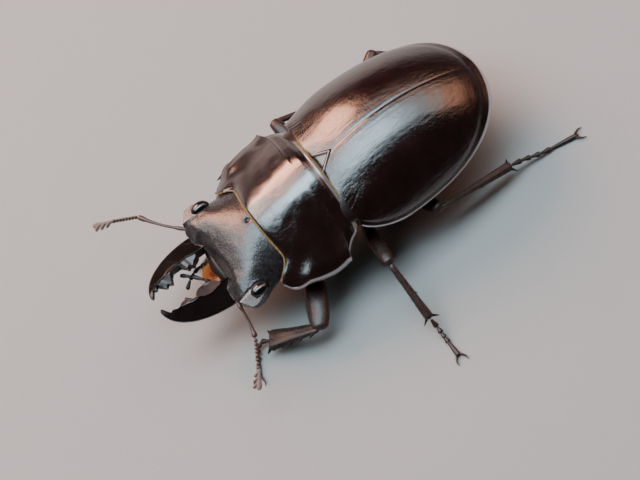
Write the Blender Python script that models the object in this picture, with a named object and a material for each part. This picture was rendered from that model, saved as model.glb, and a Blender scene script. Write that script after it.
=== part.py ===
"""A stag beetle of the Odontolabis kind, a still model at life size.

The beetle faces -Y, +X is its own left side and the floor is z = 0.  Shapes are worked out in
millimetres and turned into metres when their mesh is finished.  One named object is made for
each plate, limb segment and mouthpart.  All of them hang from one empty, which at the end is
moved so that the middle of the model's footprint lies at the world's origin.
"""

import math

import bmesh
import bpy
from mathutils import Matrix, Vector

MM = 0.001
UP = Vector((0.0, 0.0, 1.0))
SIDES = {"left": 1.0, "right": -1.0}

# Driving dimensions, in millimetres
RIM = 11.5                 # height of the wing covers' rim above the floor
GAP = 0.3                  # clearance between neighbouring shell plates
JOINT_GAP = 0.15           # clearance in the joints of the antennae
KNEE_CLEARANCE = 0.45      # least distance from a knee's centre to the shin, besides its width

ELYTRA_LENGTH = 28.5
ELYTRA_HALF_WIDTH = 12.85
ELYTRA_WIDEST = 8.0        # how far behind their front edge the wing covers are widest
SHOULDER_REACH = 13.4      # distance from the widest place to the ellipse's front end
ELYTRA_SHELL = 0.9
SEAM = 0.2                 # gap between the two wing covers
SCUTELLUM_HALF_WIDTH = 1.75
SCUTELLUM_TIP = 3.4
SCUTELLUM_THICKNESS = 0.7

THORAX_FRONT = 0.6
THORAX_REAR = 10.3         # the belly plates begin behind this
BELLY_DEPTH = 5.6          # the lowest part of the underside, below the rim
BODY_SHARE = 0.895         # the body's half-width as a share of the wing covers'
BODY_CLEARANCE = 0.4       # space between the body's back and the wing covers
FLANK_CLEARANCE = 0.75     # the same below the wing covers' rim
ABDOMEN_RINGS = 5
ABDOMEN_REAR = ELYTRA_LENGTH - 1.6

PRONOTUM_FRONT = -12.0     # the middle of its front edge
PRONOTUM_HALF_WIDTH = 13.0
PRONOTUM_DEPTH = 4.8
SPINE_PLACE = -3.9         # the side spine, before the notch to the rear corner

HEAD_FRONT = -20.3         # the middle of the head's front edge
HEAD_DEPTH = 4.7
EYE_CENTRE = Vector((8.55, -17.4, RIM + 0.1))
EYE_RADII = Vector((0.95, 1.4, 1.05))

JAW_BASE = -21.7
JAW_REACH = 9.65
JAW_TIP_X = 1.2
JAW_OUTER_X = 6.75


# ---------------------------------------------------------------- plain helpers

def smooth(value):
    """Eases from 0 to 1 as value goes from 0 to 1."""
    value = min(max(value, 0.0), 1.0)
    return value * value * (3.0 - 2.0 * value)


def arch(across, power=2.2, roundness=0.62):
    """Height of a round cross-section: 1 in the middle, 0 at across = 1."""
    return max(1.0 - abs(across) ** power, 0.0) ** roundness


def bump(place, centre, half_width):
    """A pointed rise of height 1 at centre."""
    return max(0.0, 1.0 - abs(place - centre) / half_width)


def follow(stations, place):
    """Value at place on a broken line through (place, value) stations in rising order."""
    before = stations[0]
    for station in stations[1:]:
        if place <= station[0]:
            part = (place - before[0]) / (station[0] - before[0])
            return before[1] + (station[1] - before[1]) * max(part, 0.0)
        before = station
    return before[1]


def steps(count, start=0.0, end=1.0):
    """count + 1 evenly spaced values."""
    return [start + (end - start) * i / count for i in range(count + 1)]


def mirrored(point, side):
    """A point given for the left side, moved to the side asked for."""
    return Vector((point[0] * side, point[1], point[2]))


# ---------------------------------------------------------------- materials

def shell_material(name, colour, roughness):
    """Beetle shell: a dark glossy coat with no metal in it."""
    material = bpy.data.materials.new(name)
    material.use_nodes = True
    surface = material.node_tree.nodes["Principled BSDF"]
    surface.inputs["Base Color"].default_value = (*colour, 1.0)
    surface.inputs["Roughness"].default_value = roughness
    surface.inputs["Metallic"].default_value = 0.0
    return material


def make_materials():
    """Every material of the model, by its name."""
    looks = {
        "shell_gloss": ((0.030, 0.016, 0.016), 0.22),
        "shell_satin": ((0.055, 0.040, 0.036), 0.42),
        "jaw_black": ((0.010, 0.009, 0.009), 0.15),
        "leg_black": ((0.014, 0.010, 0.009), 0.25),
        "eye_black": ((0.006, 0.006, 0.007), 0.08),
        "club_grey": ((0.090, 0.080, 0.075), 0.75),
        "hair_gold": ((0.450, 0.190, 0.040), 0.60),
    }
    return {name: shell_material(name, *look) for name, look in looks.items()}


# ---------------------------------------------------------------- mesh helpers

def finish(mesh, name, material, sharp=35.0):
    """Turns a mesh drawn in millimetres into a smooth-shaded object in metres."""
    bmesh.ops.recalc_face_normals(mesh, faces=mesh.faces)
    if mesh.calc_volume(signed=True) < 0.0:
        bmesh.ops.reverse_faces(mesh, faces=mesh.faces)
    bmesh.ops.scale(mesh, vec=(MM, MM, MM), verts=mesh.verts)
    data = bpy.data.meshes.new(name)
    mesh.to_mesh(data)
    mesh.free()
    data.shade_smooth()
    data.set_sharp_from_angle(angle=math.radians(sharp))
    data.materials.append(MATERIALS[material])
    piece = bpy.data.objects.new(name, data)
    piece.parent = ROOT
    bpy.context.collection.objects.link(piece)
    return piece


def slab(name, across, along, shape, material):
    """A closed body between two surfaces over one grid.

    shape(u, v) gives the top and the bottom point, for every u in across and v in along.
    """
    mesh = bmesh.new()
    columns = len(across) - 1
    rows = len(along) - 1
    bmesh.ops.create_grid(mesh, x_segments=columns, y_segments=rows, size=1.0)
    lifted = bmesh.ops.extrude_face_region(mesh, geom=mesh.faces[:], use_keep_orig=True)
    upper = {vert for vert in lifted["geom"] if isinstance(vert, bmesh.types.BMVert)}
    for vert in mesh.verts:
        column = round((vert.co.x + 1.0) / 2.0 * columns)
        row = round((vert.co.y + 1.0) / 2.0 * rows)
        top, bottom = shape(across[column], along[row])
        vert.co = top if vert in upper else bottom
    return finish(mesh, name, material)


def add_rod(mesh, stations, up=UP, sides=8, flat_below=False):
    """Adds a closed rod through stations of (centre, width, depth), depth lying along up.

    Its rings have a corner at the bottom, or with flat_below one of their sides.
    """
    centres = [Vector(station[0]) for station in stations]
    last = len(stations) - 1
    turn = Matrix.Rotation(math.pi / sides if flat_below else 0.0, 4, "Z")
    before = None
    for i, (centre, width, depth) in enumerate(stations):
        ahead = (centres[min(i + 1, last)] - centres[max(i - 1, 0)]).normalized()
        side = ahead.cross(up).normalized()
        rise = side.cross(ahead)
        frame = Matrix((side * width / 2.0, rise * depth / 2.0, ahead)).transposed().to_4x4()
        frame.translation = centre
        ring = bmesh.ops.create_circle(mesh, segments=sides, radius=1.0, matrix=frame @ turn)
        edges = list({edge for vert in ring["verts"] for edge in vert.link_edges})
        if before is None:
            bmesh.ops.contextual_create(mesh, geom=edges)
        else:
            bmesh.ops.bridge_loops(mesh, edges=before + edges)
        before = edges
    bmesh.ops.contextual_create(mesh, geom=before)


def rod(name, stations, material, up=UP, sides=8):
    """One rod as an object of its own."""
    mesh = bmesh.new()
    add_rod(mesh, stations, up, sides)
    return finish(mesh, name, material)


def add_thorn(mesh, foot, tip, thickness, sides=4):
    """Adds a straight pointed thorn."""
    foot = Vector(foot)
    tip = Vector(tip)
    up = UP if abs((tip - foot).normalized().z) < 0.9 else Vector((0.0, 1.0, 0.0))
    fine = thickness * 0.25
    add_rod(mesh, [(foot, thickness, thickness), (tip, fine, fine)], up, sides)


def ball(name, centre, radii, material, turns=8, rings=6):
    """An egg-shaped body."""
    mesh = bmesh.new()
    place = Matrix.LocRotScale(centre, None, radii)
    bmesh.ops.create_uvsphere(mesh, u_segments=turns, v_segments=rings, radius=1.0, matrix=place)
    return finish(mesh, name, material)


def combine(piece, tool, operation):
    """Cuts piece with tool or joins tool to it, and keeps tool as a hidden guide."""
    change = piece.modifiers.new(operation.title(), "BOOLEAN")
    change.operation = operation
    change.solver = "EXACT"
    change.object = tool
    tool.hide_render = True
    tool.display_type = "WIRE"


def grow(piece, mesh):
    """Joins a mesh of thorns or plates to a piece."""
    combine(piece, finish(mesh, piece.name + "_growth", "leg_black"), "UNION")


def cut_socket(piece, centre, radii):
    """Cuts an egg-shaped socket, one gap wider all round than what sits in it."""
    wider = radii + Vector((GAP, GAP, GAP)) * 0.8
    cutter = ball(piece.name + "_socket", centre, wider, "leg_black")
    combine(piece, cutter, "DIFFERENCE")


# ---------------------------------------------------------------- wing covers and body

def elytra_half_width(y):
    """Half-width of the wing covers: an ellipse in front, a fuller curve behind."""
    if y < ELYTRA_WIDEST:
        part = (ELYTRA_WIDEST - y) / SHOULDER_REACH
        return ELYTRA_HALF_WIDTH * math.sqrt(1.0 - part * part)
    part = (y - ELYTRA_WIDEST) / (ELYTRA_LENGTH - ELYTRA_WIDEST)
    return ELYTRA_HALF_WIDTH * (1.0 - min(part, 1.0) ** 2.3) ** (1.0 / 2.3)


def seam_height(y):
    """Height of the wing covers along the middle seam."""
    part = y / ELYTRA_LENGTH
    return RIM + 5.0 + 13.4 * part - 17.4 * part ** 2 - 0.3 * part ** 3


def rim_height(y):
    """Height of the wing covers' side rim, which rises at the shoulder."""
    part = y / ELYTRA_LENGTH
    shoulder = 1.8 * math.exp(-max(y, 0.0) / 1.5)
    return RIM - 0.28 - 3.15 * part + 3.66 * part ** 2 + shoulder


def elytra_point(across, y):
    """A point of the wing covers' outer surface, across going from the seam to the rim."""
    seam = seam_height(y)
    rim = rim_height(y)
    return Vector((across * elytra_half_width(y), y, rim + (seam - rim) * arch(across)))


def elytron(name, side):
    """One wing cover: half a dome, notched in front for the small triangular plate."""
    front = 0.35
    apex = ELYTRA_LENGTH - 0.05

    def shape(across, along):
        y = front + (apex - front) * math.sin(along * math.pi / 2.0) ** 1.25
        x = across * elytra_half_width(y)
        notch = max(0.0, 1.0 - x / (SCUTELLUM_HALF_WIDTH + GAP))
        y += (SCUTELLUM_TIP + GAP) * notch * (1.0 - along) ** 8
        outer = elytra_point(across, y)
        inner = outer.copy()
        inner.x *= 0.94
        inner.z -= ELYTRA_SHELL
        outer.x = max(outer.x, SEAM / 2.0)
        inner.x = max(inner.x, SEAM / 2.0)
        return mirrored(outer, side), mirrored(inner, side)

    across = [0.0, 0.08, 0.17, 0.33, 0.5, 0.66, 0.8, 0.9, 0.96, 1.0]
    slab(name, across, steps(13), shape, "shell_gloss")


def scutellum():
    """The small triangular plate between the wing covers' front ends."""
    mesh = bmesh.new()
    front = 0.75
    rear = SCUTELLUM_TIP - 2.0 * GAP
    width = SCUTELLUM_HALF_WIDTH - 0.25
    corners = [(-width, front), (width, front), (0.35, rear), (-0.35, rear)]
    top = [mesh.verts.new((x, y, seam_height(y))) for x, y in corners]
    face = mesh.faces.new(top)
    lowered = bmesh.ops.extrude_face_region(mesh, geom=[face], use_keep_orig=True)
    for item in lowered["geom"]:
        if isinstance(item, bmesh.types.BMVert):
            item.co.z -= SCUTELLUM_THICKNESS
    finish(mesh, "scutellum", "shell_gloss")


def belly_point(across, y, middle):
    """A point of the underside below the wing covers."""
    edge = rim_height(y) - ELYTRA_SHELL - FLANK_CLEARANCE
    return Vector((across * BODY_SHARE * elytra_half_width(y), y,
                   edge - (edge - middle) * arch(across, 2.6, 0.7)))


def back_point(across, y):
    """A point of the body's upper side, just under the wing covers."""
    point = elytra_point(across, y)
    point.x *= BODY_SHARE
    point.z -= ELYTRA_SHELL + BODY_CLEARANCE
    return point


def thorax():
    """The body's middle part, which carries the middle and the hind legs."""
    def shape(across, along):
        y = THORAX_FRONT + (THORAX_REAR - THORAX_FRONT) * along
        middle = RIM - BELLY_DEPTH + 0.5 * (1.0 - along)
        return back_point(across, y), belly_point(across, y, middle)

    return slab("thorax", steps(10, -1.0), steps(5), shape, "shell_gloss")


def abdomen():
    """The hind body, with a low step between one belly plate and the next."""
    front = THORAX_REAR + GAP
    along = []
    for ring in range(ABDOMEN_RINGS):
        along += [ring / ABDOMEN_RINGS, (ring + 0.86) / ABDOMEN_RINGS]
    along.append(1.0)

    def shape(across, part):
        y = front + (ABDOMEN_REAR - front) * part
        step = 0.25 if round(part * ABDOMEN_RINGS * 100) % 100 == 0 and part > 0.0 else 0.0
        middle = RIM - BELLY_DEPTH + 0.3 + 4.3 * part ** 3 + step
        return back_point(across, y), belly_point(across, y, middle)

    slab("abdomen", steps(10, -1.0), along, shape, "shell_satin")


# ---------------------------------------------------------------- pronotum

PRONOTUM_SIDE = ((-14.2, 9.6), (-13.3, 10.8), (-12.1, 11.5), (-10.4, 12.1), (-8.6, 12.65),
                 (-6.4, 13.0), (-4.4, 13.0), (SPINE_PLACE, 13.15), (-3.4, 12.1), (-2.4, 11.3),
                 (-1.5, 10.8), (-0.7, 10.3))


def pronotum_front(x):
    """The pronotum's front edge over the head, whose corners reach forwards."""
    return PRONOTUM_FRONT + 0.4 * (x / 6.0) ** 2 - 3.2 * smooth((abs(x) - 5.0) / 4.6) ** 3


def pronotum_height(across, along):
    """Height of the pronotum, from its front edge at along = 0 to its rear edge at 1."""
    middle = RIM + 3.65 + 2.75 * (1.0 - (1.0 - along) ** 1.8)
    edge = RIM - 1.1 - 0.6 * smooth(along / 0.6) + 2.5 * smooth((along - 0.7) / 0.3)
    return edge + (middle - edge) * arch(across, 2.1, 0.8), edge


def prothorax():
    """The shield behind the head and the body below it, which carries the fore legs."""
    first = PRONOTUM_SIDE[0][0]
    last = PRONOTUM_SIDE[-1][0]

    def shape(across, along):
        side_y = first + (last - first) * along
        x = across * follow(PRONOTUM_SIDE, side_y)
        front = pronotum_front(across * PRONOTUM_SIDE[0][1])
        y = front + (last * abs(across) ** 6 - front) * along
        height, edge = pronotum_height(across, along)
        under = edge - 0.5
        floor = RIM - PRONOTUM_DEPTH
        low = under - (under - floor) * arch(across, 2.4, 1.1)
        return Vector((x, y, height)), Vector((x * 0.985, y, low))

    across = [-1.0, -0.96, -0.9, -0.8, -0.65, -0.45, -0.2]
    across += [0.0] + [-value for value in reversed(across)]
    along = [(station[0] - first) / (last - first) for station in PRONOTUM_SIDE]
    return slab("prothorax", across, along, shape, "shell_gloss")


# ---------------------------------------------------------------- head

HEAD_SIDE = ((0.0, 8.4), (0.17, 8.6), (0.33, 8.95), (0.42, 9.25), (0.55, 9.7), (0.68, 10.0),
             (0.8, 9.9), (0.87, 9.25), (0.94, 8.6), (1.0, 7.9))
HEAD_FRONT_EDGE = ((0.0, HEAD_FRONT), (0.3, -20.35), (0.48, -20.75), (0.6, -21.3), (0.84, -21.45),
                   (1.0, -21.0))


def head_shape(across, along):
    """Top and bottom points of the head, from behind at along = 0 to its front edge at 1."""
    x = across * follow(HEAD_SIDE, along)
    rear = pronotum_front(across * 8.7) - GAP
    front = follow(HEAD_FRONT_EDGE, abs(across))
    y = rear + (front - rear) * along
    middle = RIM + 3.15 - 3.25 * along ** 2 - 0.7 * smooth((along - 0.85) / 0.15)
    edge = RIM + 0.1 - 0.8 * smooth((along - 0.8) / 0.2)
    top = edge + (middle - edge) * arch(across, 2.3, 0.8)
    under = edge - 0.9 + 0.2 * bump(along, 0.8, 0.3)
    floor = RIM - HEAD_DEPTH + 0.7 * along
    low = under - (under - floor) * arch(across, 4.0, 1.0)
    return Vector((x, y, top)), Vector((x, y, low))


def head():
    """The head with its pointed side plates, and a socket for each eye."""
    half = [-1.0, -0.94, -0.88, -0.82, -0.72, -0.6, -0.48, -0.3, -0.12]
    across = half + [-value for value in reversed(half)]
    along = [station[0] for station in HEAD_SIDE]
    piece = slab("head", across, along, head_shape, "shell_satin")
    for side_name, side in SIDES.items():
        centre = mirrored(EYE_CENTRE, side)
        ball("eye_" + side_name, centre, EYE_RADII, "eye_black", 10, 6)
        cut_socket(piece, centre, EYE_RADII)


# ---------------------------------------------------------------- jaws and mouth

# Teeth of the inner edge: place along the jaw, height towards the middle, half-width along
JAW_TEETH = {
    "left": ((0.19, 1.9, 0.21), (0.57, 1.4, 0.09), (0.66, 0.6, 0.05), (0.82, 0.35, 0.05)),
    "right": ((0.19, 1.15, 0.16), (0.28, 0.4, 0.05), (0.61, 0.6, 0.05), (0.66, 1.2, 0.13),
              (0.73, 0.7, 0.05), (0.86, 0.75, 0.05)),
}


def jaw(side_name):
    """One mandible: a sickle with teeth along its inner edge."""
    side = SIDES[side_name]

    def shape(across, along):
        turn = along * math.radians(88.0)
        reach = JAW_OUTER_X - JAW_TIP_X
        outer = Vector((JAW_TIP_X + reach * math.cos(turn) ** 0.95,
                        JAW_BASE - JAW_REACH * math.sin(turn)))
        inner = Vector((3.1 - 0.4 * along - 1.6 * smooth((along - 0.86) / 0.14),
                        JAW_BASE - (JAW_REACH - 0.3) * along ** 1.02))
        for centre, height, half_width in JAW_TEETH[side_name]:
            inner.x -= height * bump(along, centre, half_width)
        middle = RIM - 2.2 + 1.45 * along
        half_depth = 1.35 - 0.85 * along
        profile = 0.35 + 0.65 * arch(2.0 * across - 1.0, 2.0, 0.5)
        plan = outer.lerp(inner, across)
        top = Vector((plan.x, plan.y, middle + half_depth * profile))
        low = Vector((plan.x, plan.y, middle - half_depth * profile))
        return mirrored(top, side), mirrored(low, side)

    slab("mandible_" + side_name, [0.0, 0.15, 0.4, 0.7, 1.0], steps(23), shape, "jaw_black")


def jointed_rod(name, joints, width, material, sides=5):
    """A rod whose joints are marked by narrow waists."""
    stations = []
    for start, end in zip(joints, joints[1:]):
        start, end = Vector(start), Vector(end)
        for part, swell in ((0.05, 0.7), (0.5, 0.95), (0.9, 1.1)):
            stations.append((start.lerp(end, part), width * swell, width * swell))
    rod(name, stations, material, UP, sides)


def mouth():
    """Lip plates, palps and the golden brush between the jaws."""
    under = RIM - 5.0
    rod("labrum", [((-0.2, -20.65, RIM - 2.2), 2.8, 0.6), ((-0.2, -21.0, RIM - 2.4), 2.6, 0.6),
                   ((-0.2, -21.35, RIM - 2.6), 1.5, 0.5)], "shell_satin", UP, 6)
    rod("mentum", [((0.0, -15.0, under - 0.05), 5.0, 0.7), ((0.0, -17.5, under + 0.1), 7.0, 0.8),
                   ((0.0, -20.4, under + 0.3), 5.4, 0.7)], "shell_satin", UP, 8)
    rod("mouth_brush", [((-0.2, -20.9, RIM - 3.6), 2.0, 1.2), ((-0.4, -21.9, RIM - 3.6), 2.5, 1.3),
                        ((-0.2, -22.9, RIM - 3.6), 1.8, 1.0), ((0.2, -23.5, RIM - 3.6), 0.5, 0.4)],
        "hair_gold", UP, 8)
    jointed_rod("maxillary_palp_right", [(-2.4, -21.0, RIM - 4.1), (-2.6, -22.5, RIM - 3.9),
                                         (-2.3, -23.9, RIM - 3.8), (-1.7, -25.0, RIM - 3.8),
                                         (-0.7, -26.2, RIM - 3.9)], 0.55, "jaw_black")
    jointed_rod("maxillary_palp_left", [(2.2, -21.0, RIM - 4.4), (1.8, -22.2, RIM - 3.5),
                                        (0.3, -23.2, RIM - 2.65), (-1.4, -24.4, RIM - 2.7),
                                        (-2.8, -25.8, RIM - 2.8)], 0.55, "jaw_black")
    for side_name, side in SIDES.items():
        joints = [(0.9, -20.9, under + 0.3), (1.3, -21.9, under), (1.4, -22.9, under - 0.2)]
        joints = [mirrored(joint, side) for joint in joints]
        jointed_rod("labial_palp_" + side_name, joints, 0.5, "jaw_black")


# ---------------------------------------------------------------- antennae

# Where each antenna's stalk starts, its middle, where it bends and carries its comb, and its end
ANTENNAE = {
    "left": ((8.15, -21.25, RIM - 1.0), (10.55, -21.5, RIM - 2.0), (12.8, -22.15, RIM - 3.0),
             (17.0, -24.45, RIM - 3.6), (19.6, -26.3, RIM - 4.0)),
    "right": ((-8.15, -21.45, RIM - 1.0), (-11.05, -23.8, RIM - 1.0), (-14.2, -25.7, RIM - 1.0),
              (-16.2, -29.2, RIM - 1.0), (-17.6, -32.2, RIM - 1.0)),
}
FUNICLE_BEADS = 6


def antenna(side_name):
    """A long stalk, six short beads and a comb of three plates and an end knob."""
    side = SIDES[side_name]
    base, middle, elbow, comb, tip = (Vector(point) for point in ANTENNAE[side_name])
    bow = middle - (base + elbow) / 2.0
    stations = []
    for part, width in ((0.0, 0.45), (0.06, 0.7), (0.35, 0.52), (0.7, 0.64), (0.97, 0.95)):
        centre = base.lerp(elbow, part) + bow * math.sin(part * math.pi)
        stations.append((centre, width, width))
    rod("antenna_" + side_name + "_scape", stations, "leg_black", UP, 6)

    stations = []
    heading = (comb - elbow).normalized()
    start = elbow + heading * (0.35 + JOINT_GAP)
    for bead in range(FUNICLE_BEADS):
        for part, width in ((0.1, 0.45), (0.85, 0.75)):
            centre = start.lerp(comb, (bead + part) / FUNICLE_BEADS)
            stations.append((centre, width, width))
    rod("antenna_" + side_name + "_funicle", stations, "leg_black", UP, 5)

    heading = (tip - comb).normalized()
    start = comb + heading * JOINT_GAP
    stem = [(start, 0.5, 0.5), (start.lerp(tip, 0.45), 0.6, 0.6),
            (start.lerp(tip, 0.75), 1.1, 0.7), (tip, 0.5, 0.4)]
    club = rod("antenna_" + side_name + "_club", stem, "club_grey", UP, 6)
    plates = bmesh.new()
    outwards = heading.cross(UP).normalized() * side
    for part, length in ((0.12, 1.1), (0.42, 1.2), (0.72, 1.2)):
        root = start.lerp(tip, part)
        end = root + outwards * length + heading * 0.55
        add_rod(plates, [(root, 0.5, 0.7), (root.lerp(end, 0.6), 0.62, 0.9), (end, 0.45, 0.5)],
                UP, 5)
    grow(club, plates)


# ---------------------------------------------------------------- legs

COXAE = {
    "fore": (Vector((3.2, -7.4, RIM - 5.0)), Vector((2.4, 1.7, 1.7))),
    "middle": (Vector((3.5, 1.9, RIM - 5.3)), Vector((1.9, 1.6, 1.6))),
    "hind": (Vector((4.0, 8.3, RIM - 5.2)), Vector((3.1, 1.4, 1.5))),
}

# Hip, knee and ankle of each leg, then the joints of its foot from the ankle to the claws
LEGS = {
    "fore_left": ((5.9, -8.4, 5.0), (16.2, -13.5, 5.0), (11.7, -20.8, 2.0),
                  ((10.5, -21.9, 1.1), (10.9, -22.8, 0.8), (11.6, -23.4, 0.6),
                   (12.4, -24.0, 0.42), (15.0, -25.5, 0.24))),
    "fore_right": ((-5.9, -8.4, 5.0), (-15.0, -10.2, 4.9), (-8.6, -17.0, 1.9),
                   ((-8.1, -18.2, 1.1), (-7.7, -19.1, 0.8), (-7.3, -19.9, 0.6),
                    (-6.9, -20.7, 0.42), (-5.9, -22.8, 0.24))),
    "middle_left": ((5.8, 1.2, 5.1), (15.3, 0.35, 6.9), (24.6, 0.3, 2.4),
                    ((25.9, 0.4, 1.4), (26.9, 0.4, 1.0), (27.7, 0.4, 0.7),
                     (28.5, 0.4, 0.42), (31.3, 0.4, 0.24))),
    "middle_right": ((-5.8, 1.2, 5.1), (-15.5, -0.35, 6.7), (-14.9, 8.9, 2.0),
                     ((-14.9, 10.2, 1.3), (-14.9, 11.2, 0.9), (-14.9, 12.1, 0.6),
                      (-14.9, 13.0, 0.42), (-15.1, 15.9, 0.24))),
    "hind_left": ((7.4, 9.3, 5.0), (13.6, 11.3, 8.0), (12.6, 24.1, 2.9),
                  ((12.6, 25.9, 2.1), (12.8, 27.4, 1.5), (13.1, 28.9, 1.0),
                   (13.2, 30.7, 0.42), (14.0, 35.4, 0.24))),
    "hind_right": ((-7.4, 9.3, 5.0), (-14.9, 18.2, 7.0), (-8.9, 26.4, 2.2),
                   ((-7.5, 26.9, 1.5), (-6.3, 27.0, 1.0), (-5.2, 27.0, 0.7),
                    (-4.1, 26.9, 0.42), (-1.1, 26.4, 0.24))),
}

# Greatest width and depth of each pair's femur, then its tibia's width at knee and ankle
LEG_SIZES = {"fore": (3.6, 2.4, 2.0, 3.2), "middle": (2.5, 2.1, 1.1, 1.35),
             "hind": (2.5, 2.1, 1.05, 1.4)}


# Width of a foot's joints along their length; the last joint stands on the floor
FOOT_JOINT = ((0.06, 0.52), (0.85, 0.9))
SOLE_JOINT = ((0.06, 0.52), (0.45, 0.86), (0.85, 0.9))


def coxa(name, pair, side, body):
    """A hip knob in its socket in the body."""
    centre, radii = COXAE[pair]
    centre = mirrored(centre, side)
    ball("coxa_" + name, centre, radii, "leg_black")
    cut_socket(body, centre, radii)


def femur(name, hip, knee, width, depth):
    """The thigh: a flattened spindle with a round knee."""
    stations = []
    for part, share in ((0.0, 0.5), (0.07, 0.62), (0.14, 0.55), (0.32, 0.88), (0.6, 1.0),
                        (0.88, 0.9), (1.0, 0.74), (1.04, 0.45)):
        stations.append((hip.lerp(knee, part), width * share, depth * share))
    rod("femur_" + name, stations, "leg_black")


def tibia(name, pair, hip, knee, ankle, sizes):
    """The shin: it widens towards the foot and ends in spurs, and the fore one has thorns."""
    femur_width, _, knee_width, ankle_width = sizes
    heading = (ankle - knee).normalized()
    fold = max(0.0, heading.dot((hip - knee).normalized()))
    start = knee + heading * (KNEE_CLEARANCE + 0.25 * femur_width + 2.3 * fold)
    side = heading.cross(UP).normalized()
    outwards = side if side.dot(Vector((knee.x, knee.y * 0.2, 0.0))) > 0.0 else -side
    stations = []
    for part, share in ((0.0, 0.6), (0.06, 0.9), (0.3, 0.85), (0.55, 0.9), (0.8, 1.0),
                        (0.96, 1.05), (1.0, 0.8)):
        width = (knee_width + (ankle_width - knee_width) * part) * share
        depth = (1.05 + 0.3 * part) * share
        stations.append((start.lerp(ankle, part), width, depth))
    shin = rod("tibia_" + name, stations, "leg_black")
    thorns = bmesh.new()
    edge = ankle_width * 0.3
    ends = [(0.95, 1.0, 0.5), (0.95, -0.9, 0.5)]
    if pair == "fore":
        ends = [(0.12, 0.6, 0.4), (0.34, 0.8, 0.45), (0.5, 0.9, 0.5), (0.66, 1.0, 0.55),
                (0.82, 1.0, 0.6), (0.95, 1.3, 0.75), (0.95, -0.9, 0.5)]
    for part, reach, thickness in ends:
        root = start.lerp(ankle, part) + outwards * edge * (1.0 if reach > 0.0 else -1.0)
        root -= outwards * 0.2 * (1.0 if reach > 0.0 else -1.0)
        tip = root + outwards * (reach + 0.2 * (1.0 if reach > 0.0 else -1.0)) + heading * 0.9
        add_thorn(thorns, root, tip, thickness * 1.2)
    grow(shin, thorns)


def tarsus(name, ankle, joints):
    """The foot: four short joints, one long one and two claws, flat where it stands."""
    path = [ankle] + [Vector(joint) for joint in joints]
    path[0] = ankle.lerp(path[1], 0.16)
    mesh = bmesh.new()
    stations = []
    for start, end in zip(path, path[1:]):
        shape = SOLE_JOINT if end is path[-1] else FOOT_JOINT
        for part, width in shape:
            stations.append((start.lerp(end, part), width, width * 0.95))
    add_rod(mesh, stations, UP, 6, flat_below=True)
    level_soles(mesh)
    foot = finish(mesh, "tarsus_" + name, "leg_black")
    claws = bmesh.new()
    heading = path[-1] - path[-2]
    heading.z = 0.0
    heading.normalize()
    side = heading.cross(UP)
    root = path[-2].lerp(path[-1], 0.8)
    for way in (-1.0, 1.0):
        bend = root + heading * 0.9 + side * way * 0.75
        tip = root + heading * 1.7 + side * way * 0.85
        add_rod(claws, [(root + side * way * 0.26, 0.42, 0.5),
                        (bend + UP * 0.15, 0.36, 0.42), (tip - UP * 0.15, 0.14, 0.2)], UP, 5)
    level_soles(claws)
    grow(foot, claws)


def level_soles(mesh):
    """Flattens what reaches below the floor, so that a foot stands on small flats."""
    for vert in mesh.verts:
        vert.co.z = max(vert.co.z, 0.0)


def leg(name, bodies):
    """One leg from its hip knob to its claws."""
    pair, side_name = name.split("_")
    hip, knee, ankle, joints = LEGS[name]
    hip, knee, ankle = Vector(hip), Vector(knee), Vector(ankle)
    width, depth, _, _ = LEG_SIZES[pair]
    coxa(name, pair, SIDES[side_name], bodies[pair])
    femur(name, hip, knee, width, depth)
    tibia(name, pair, hip, knee, ankle, LEG_SIZES[pair])
    tarsus(name, ankle, joints)


# ---------------------------------------------------------------- assembly

def centre_on_footprint():
    """Moves the root so that the bounding box stands with its middle over the origin."""
    bpy.context.view_layer.update()
    depsgraph = bpy.context.evaluated_depsgraph_get()
    points = []
    for piece in bpy.data.objects:
        if piece.type == "MESH" and not piece.hide_render:
            shown = piece.evaluated_get(depsgraph)
            points += [shown.matrix_world @ Vector(corner) for corner in shown.bound_box]
    low = Vector((min(point[i] for point in points) for i in range(3)))
    high = Vector((max(point[i] for point in points) for i in range(3)))
    ROOT.location = (-(low.x + high.x) / 2.0, -(low.y + high.y) / 2.0, -low.z)


def main():
    head()
    for side_name, side in SIDES.items():
        elytron("elytron_" + side_name, side)
        jaw(side_name)
        antenna(side_name)
    scutellum()
    mouth()
    abdomen()
    front_body = prothorax()
    middle_body = thorax()
    bodies = {"fore": front_body, "middle": middle_body, "hind": middle_body}
    for name in LEGS:
        leg(name, bodies)
    centre_on_footprint()


for existing in list(bpy.data.objects):
    bpy.data.objects.remove(existing)
MATERIALS = make_materials()
ROOT = bpy.data.objects.new("stag_beetle", None)
bpy.context.collection.objects.link(ROOT)
main()
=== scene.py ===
"""Dresses a stag beetle: shell plates, jaws, legs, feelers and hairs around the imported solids.

Shapes are worked out in millimetres in the beetle's own frame: +X is its left side, -Y its head,
the floor is z = 0 and the wing covers begin just behind y = 0.  They are turned into metres, and
moved to where the frame stands, when their mesh is made.
"""

import math

import bpy
import numpy as np
from bpy.props import FloatProperty, FloatVectorProperty, IntProperty, PointerProperty
from mathutils import Matrix, Quaternion, Vector


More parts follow.
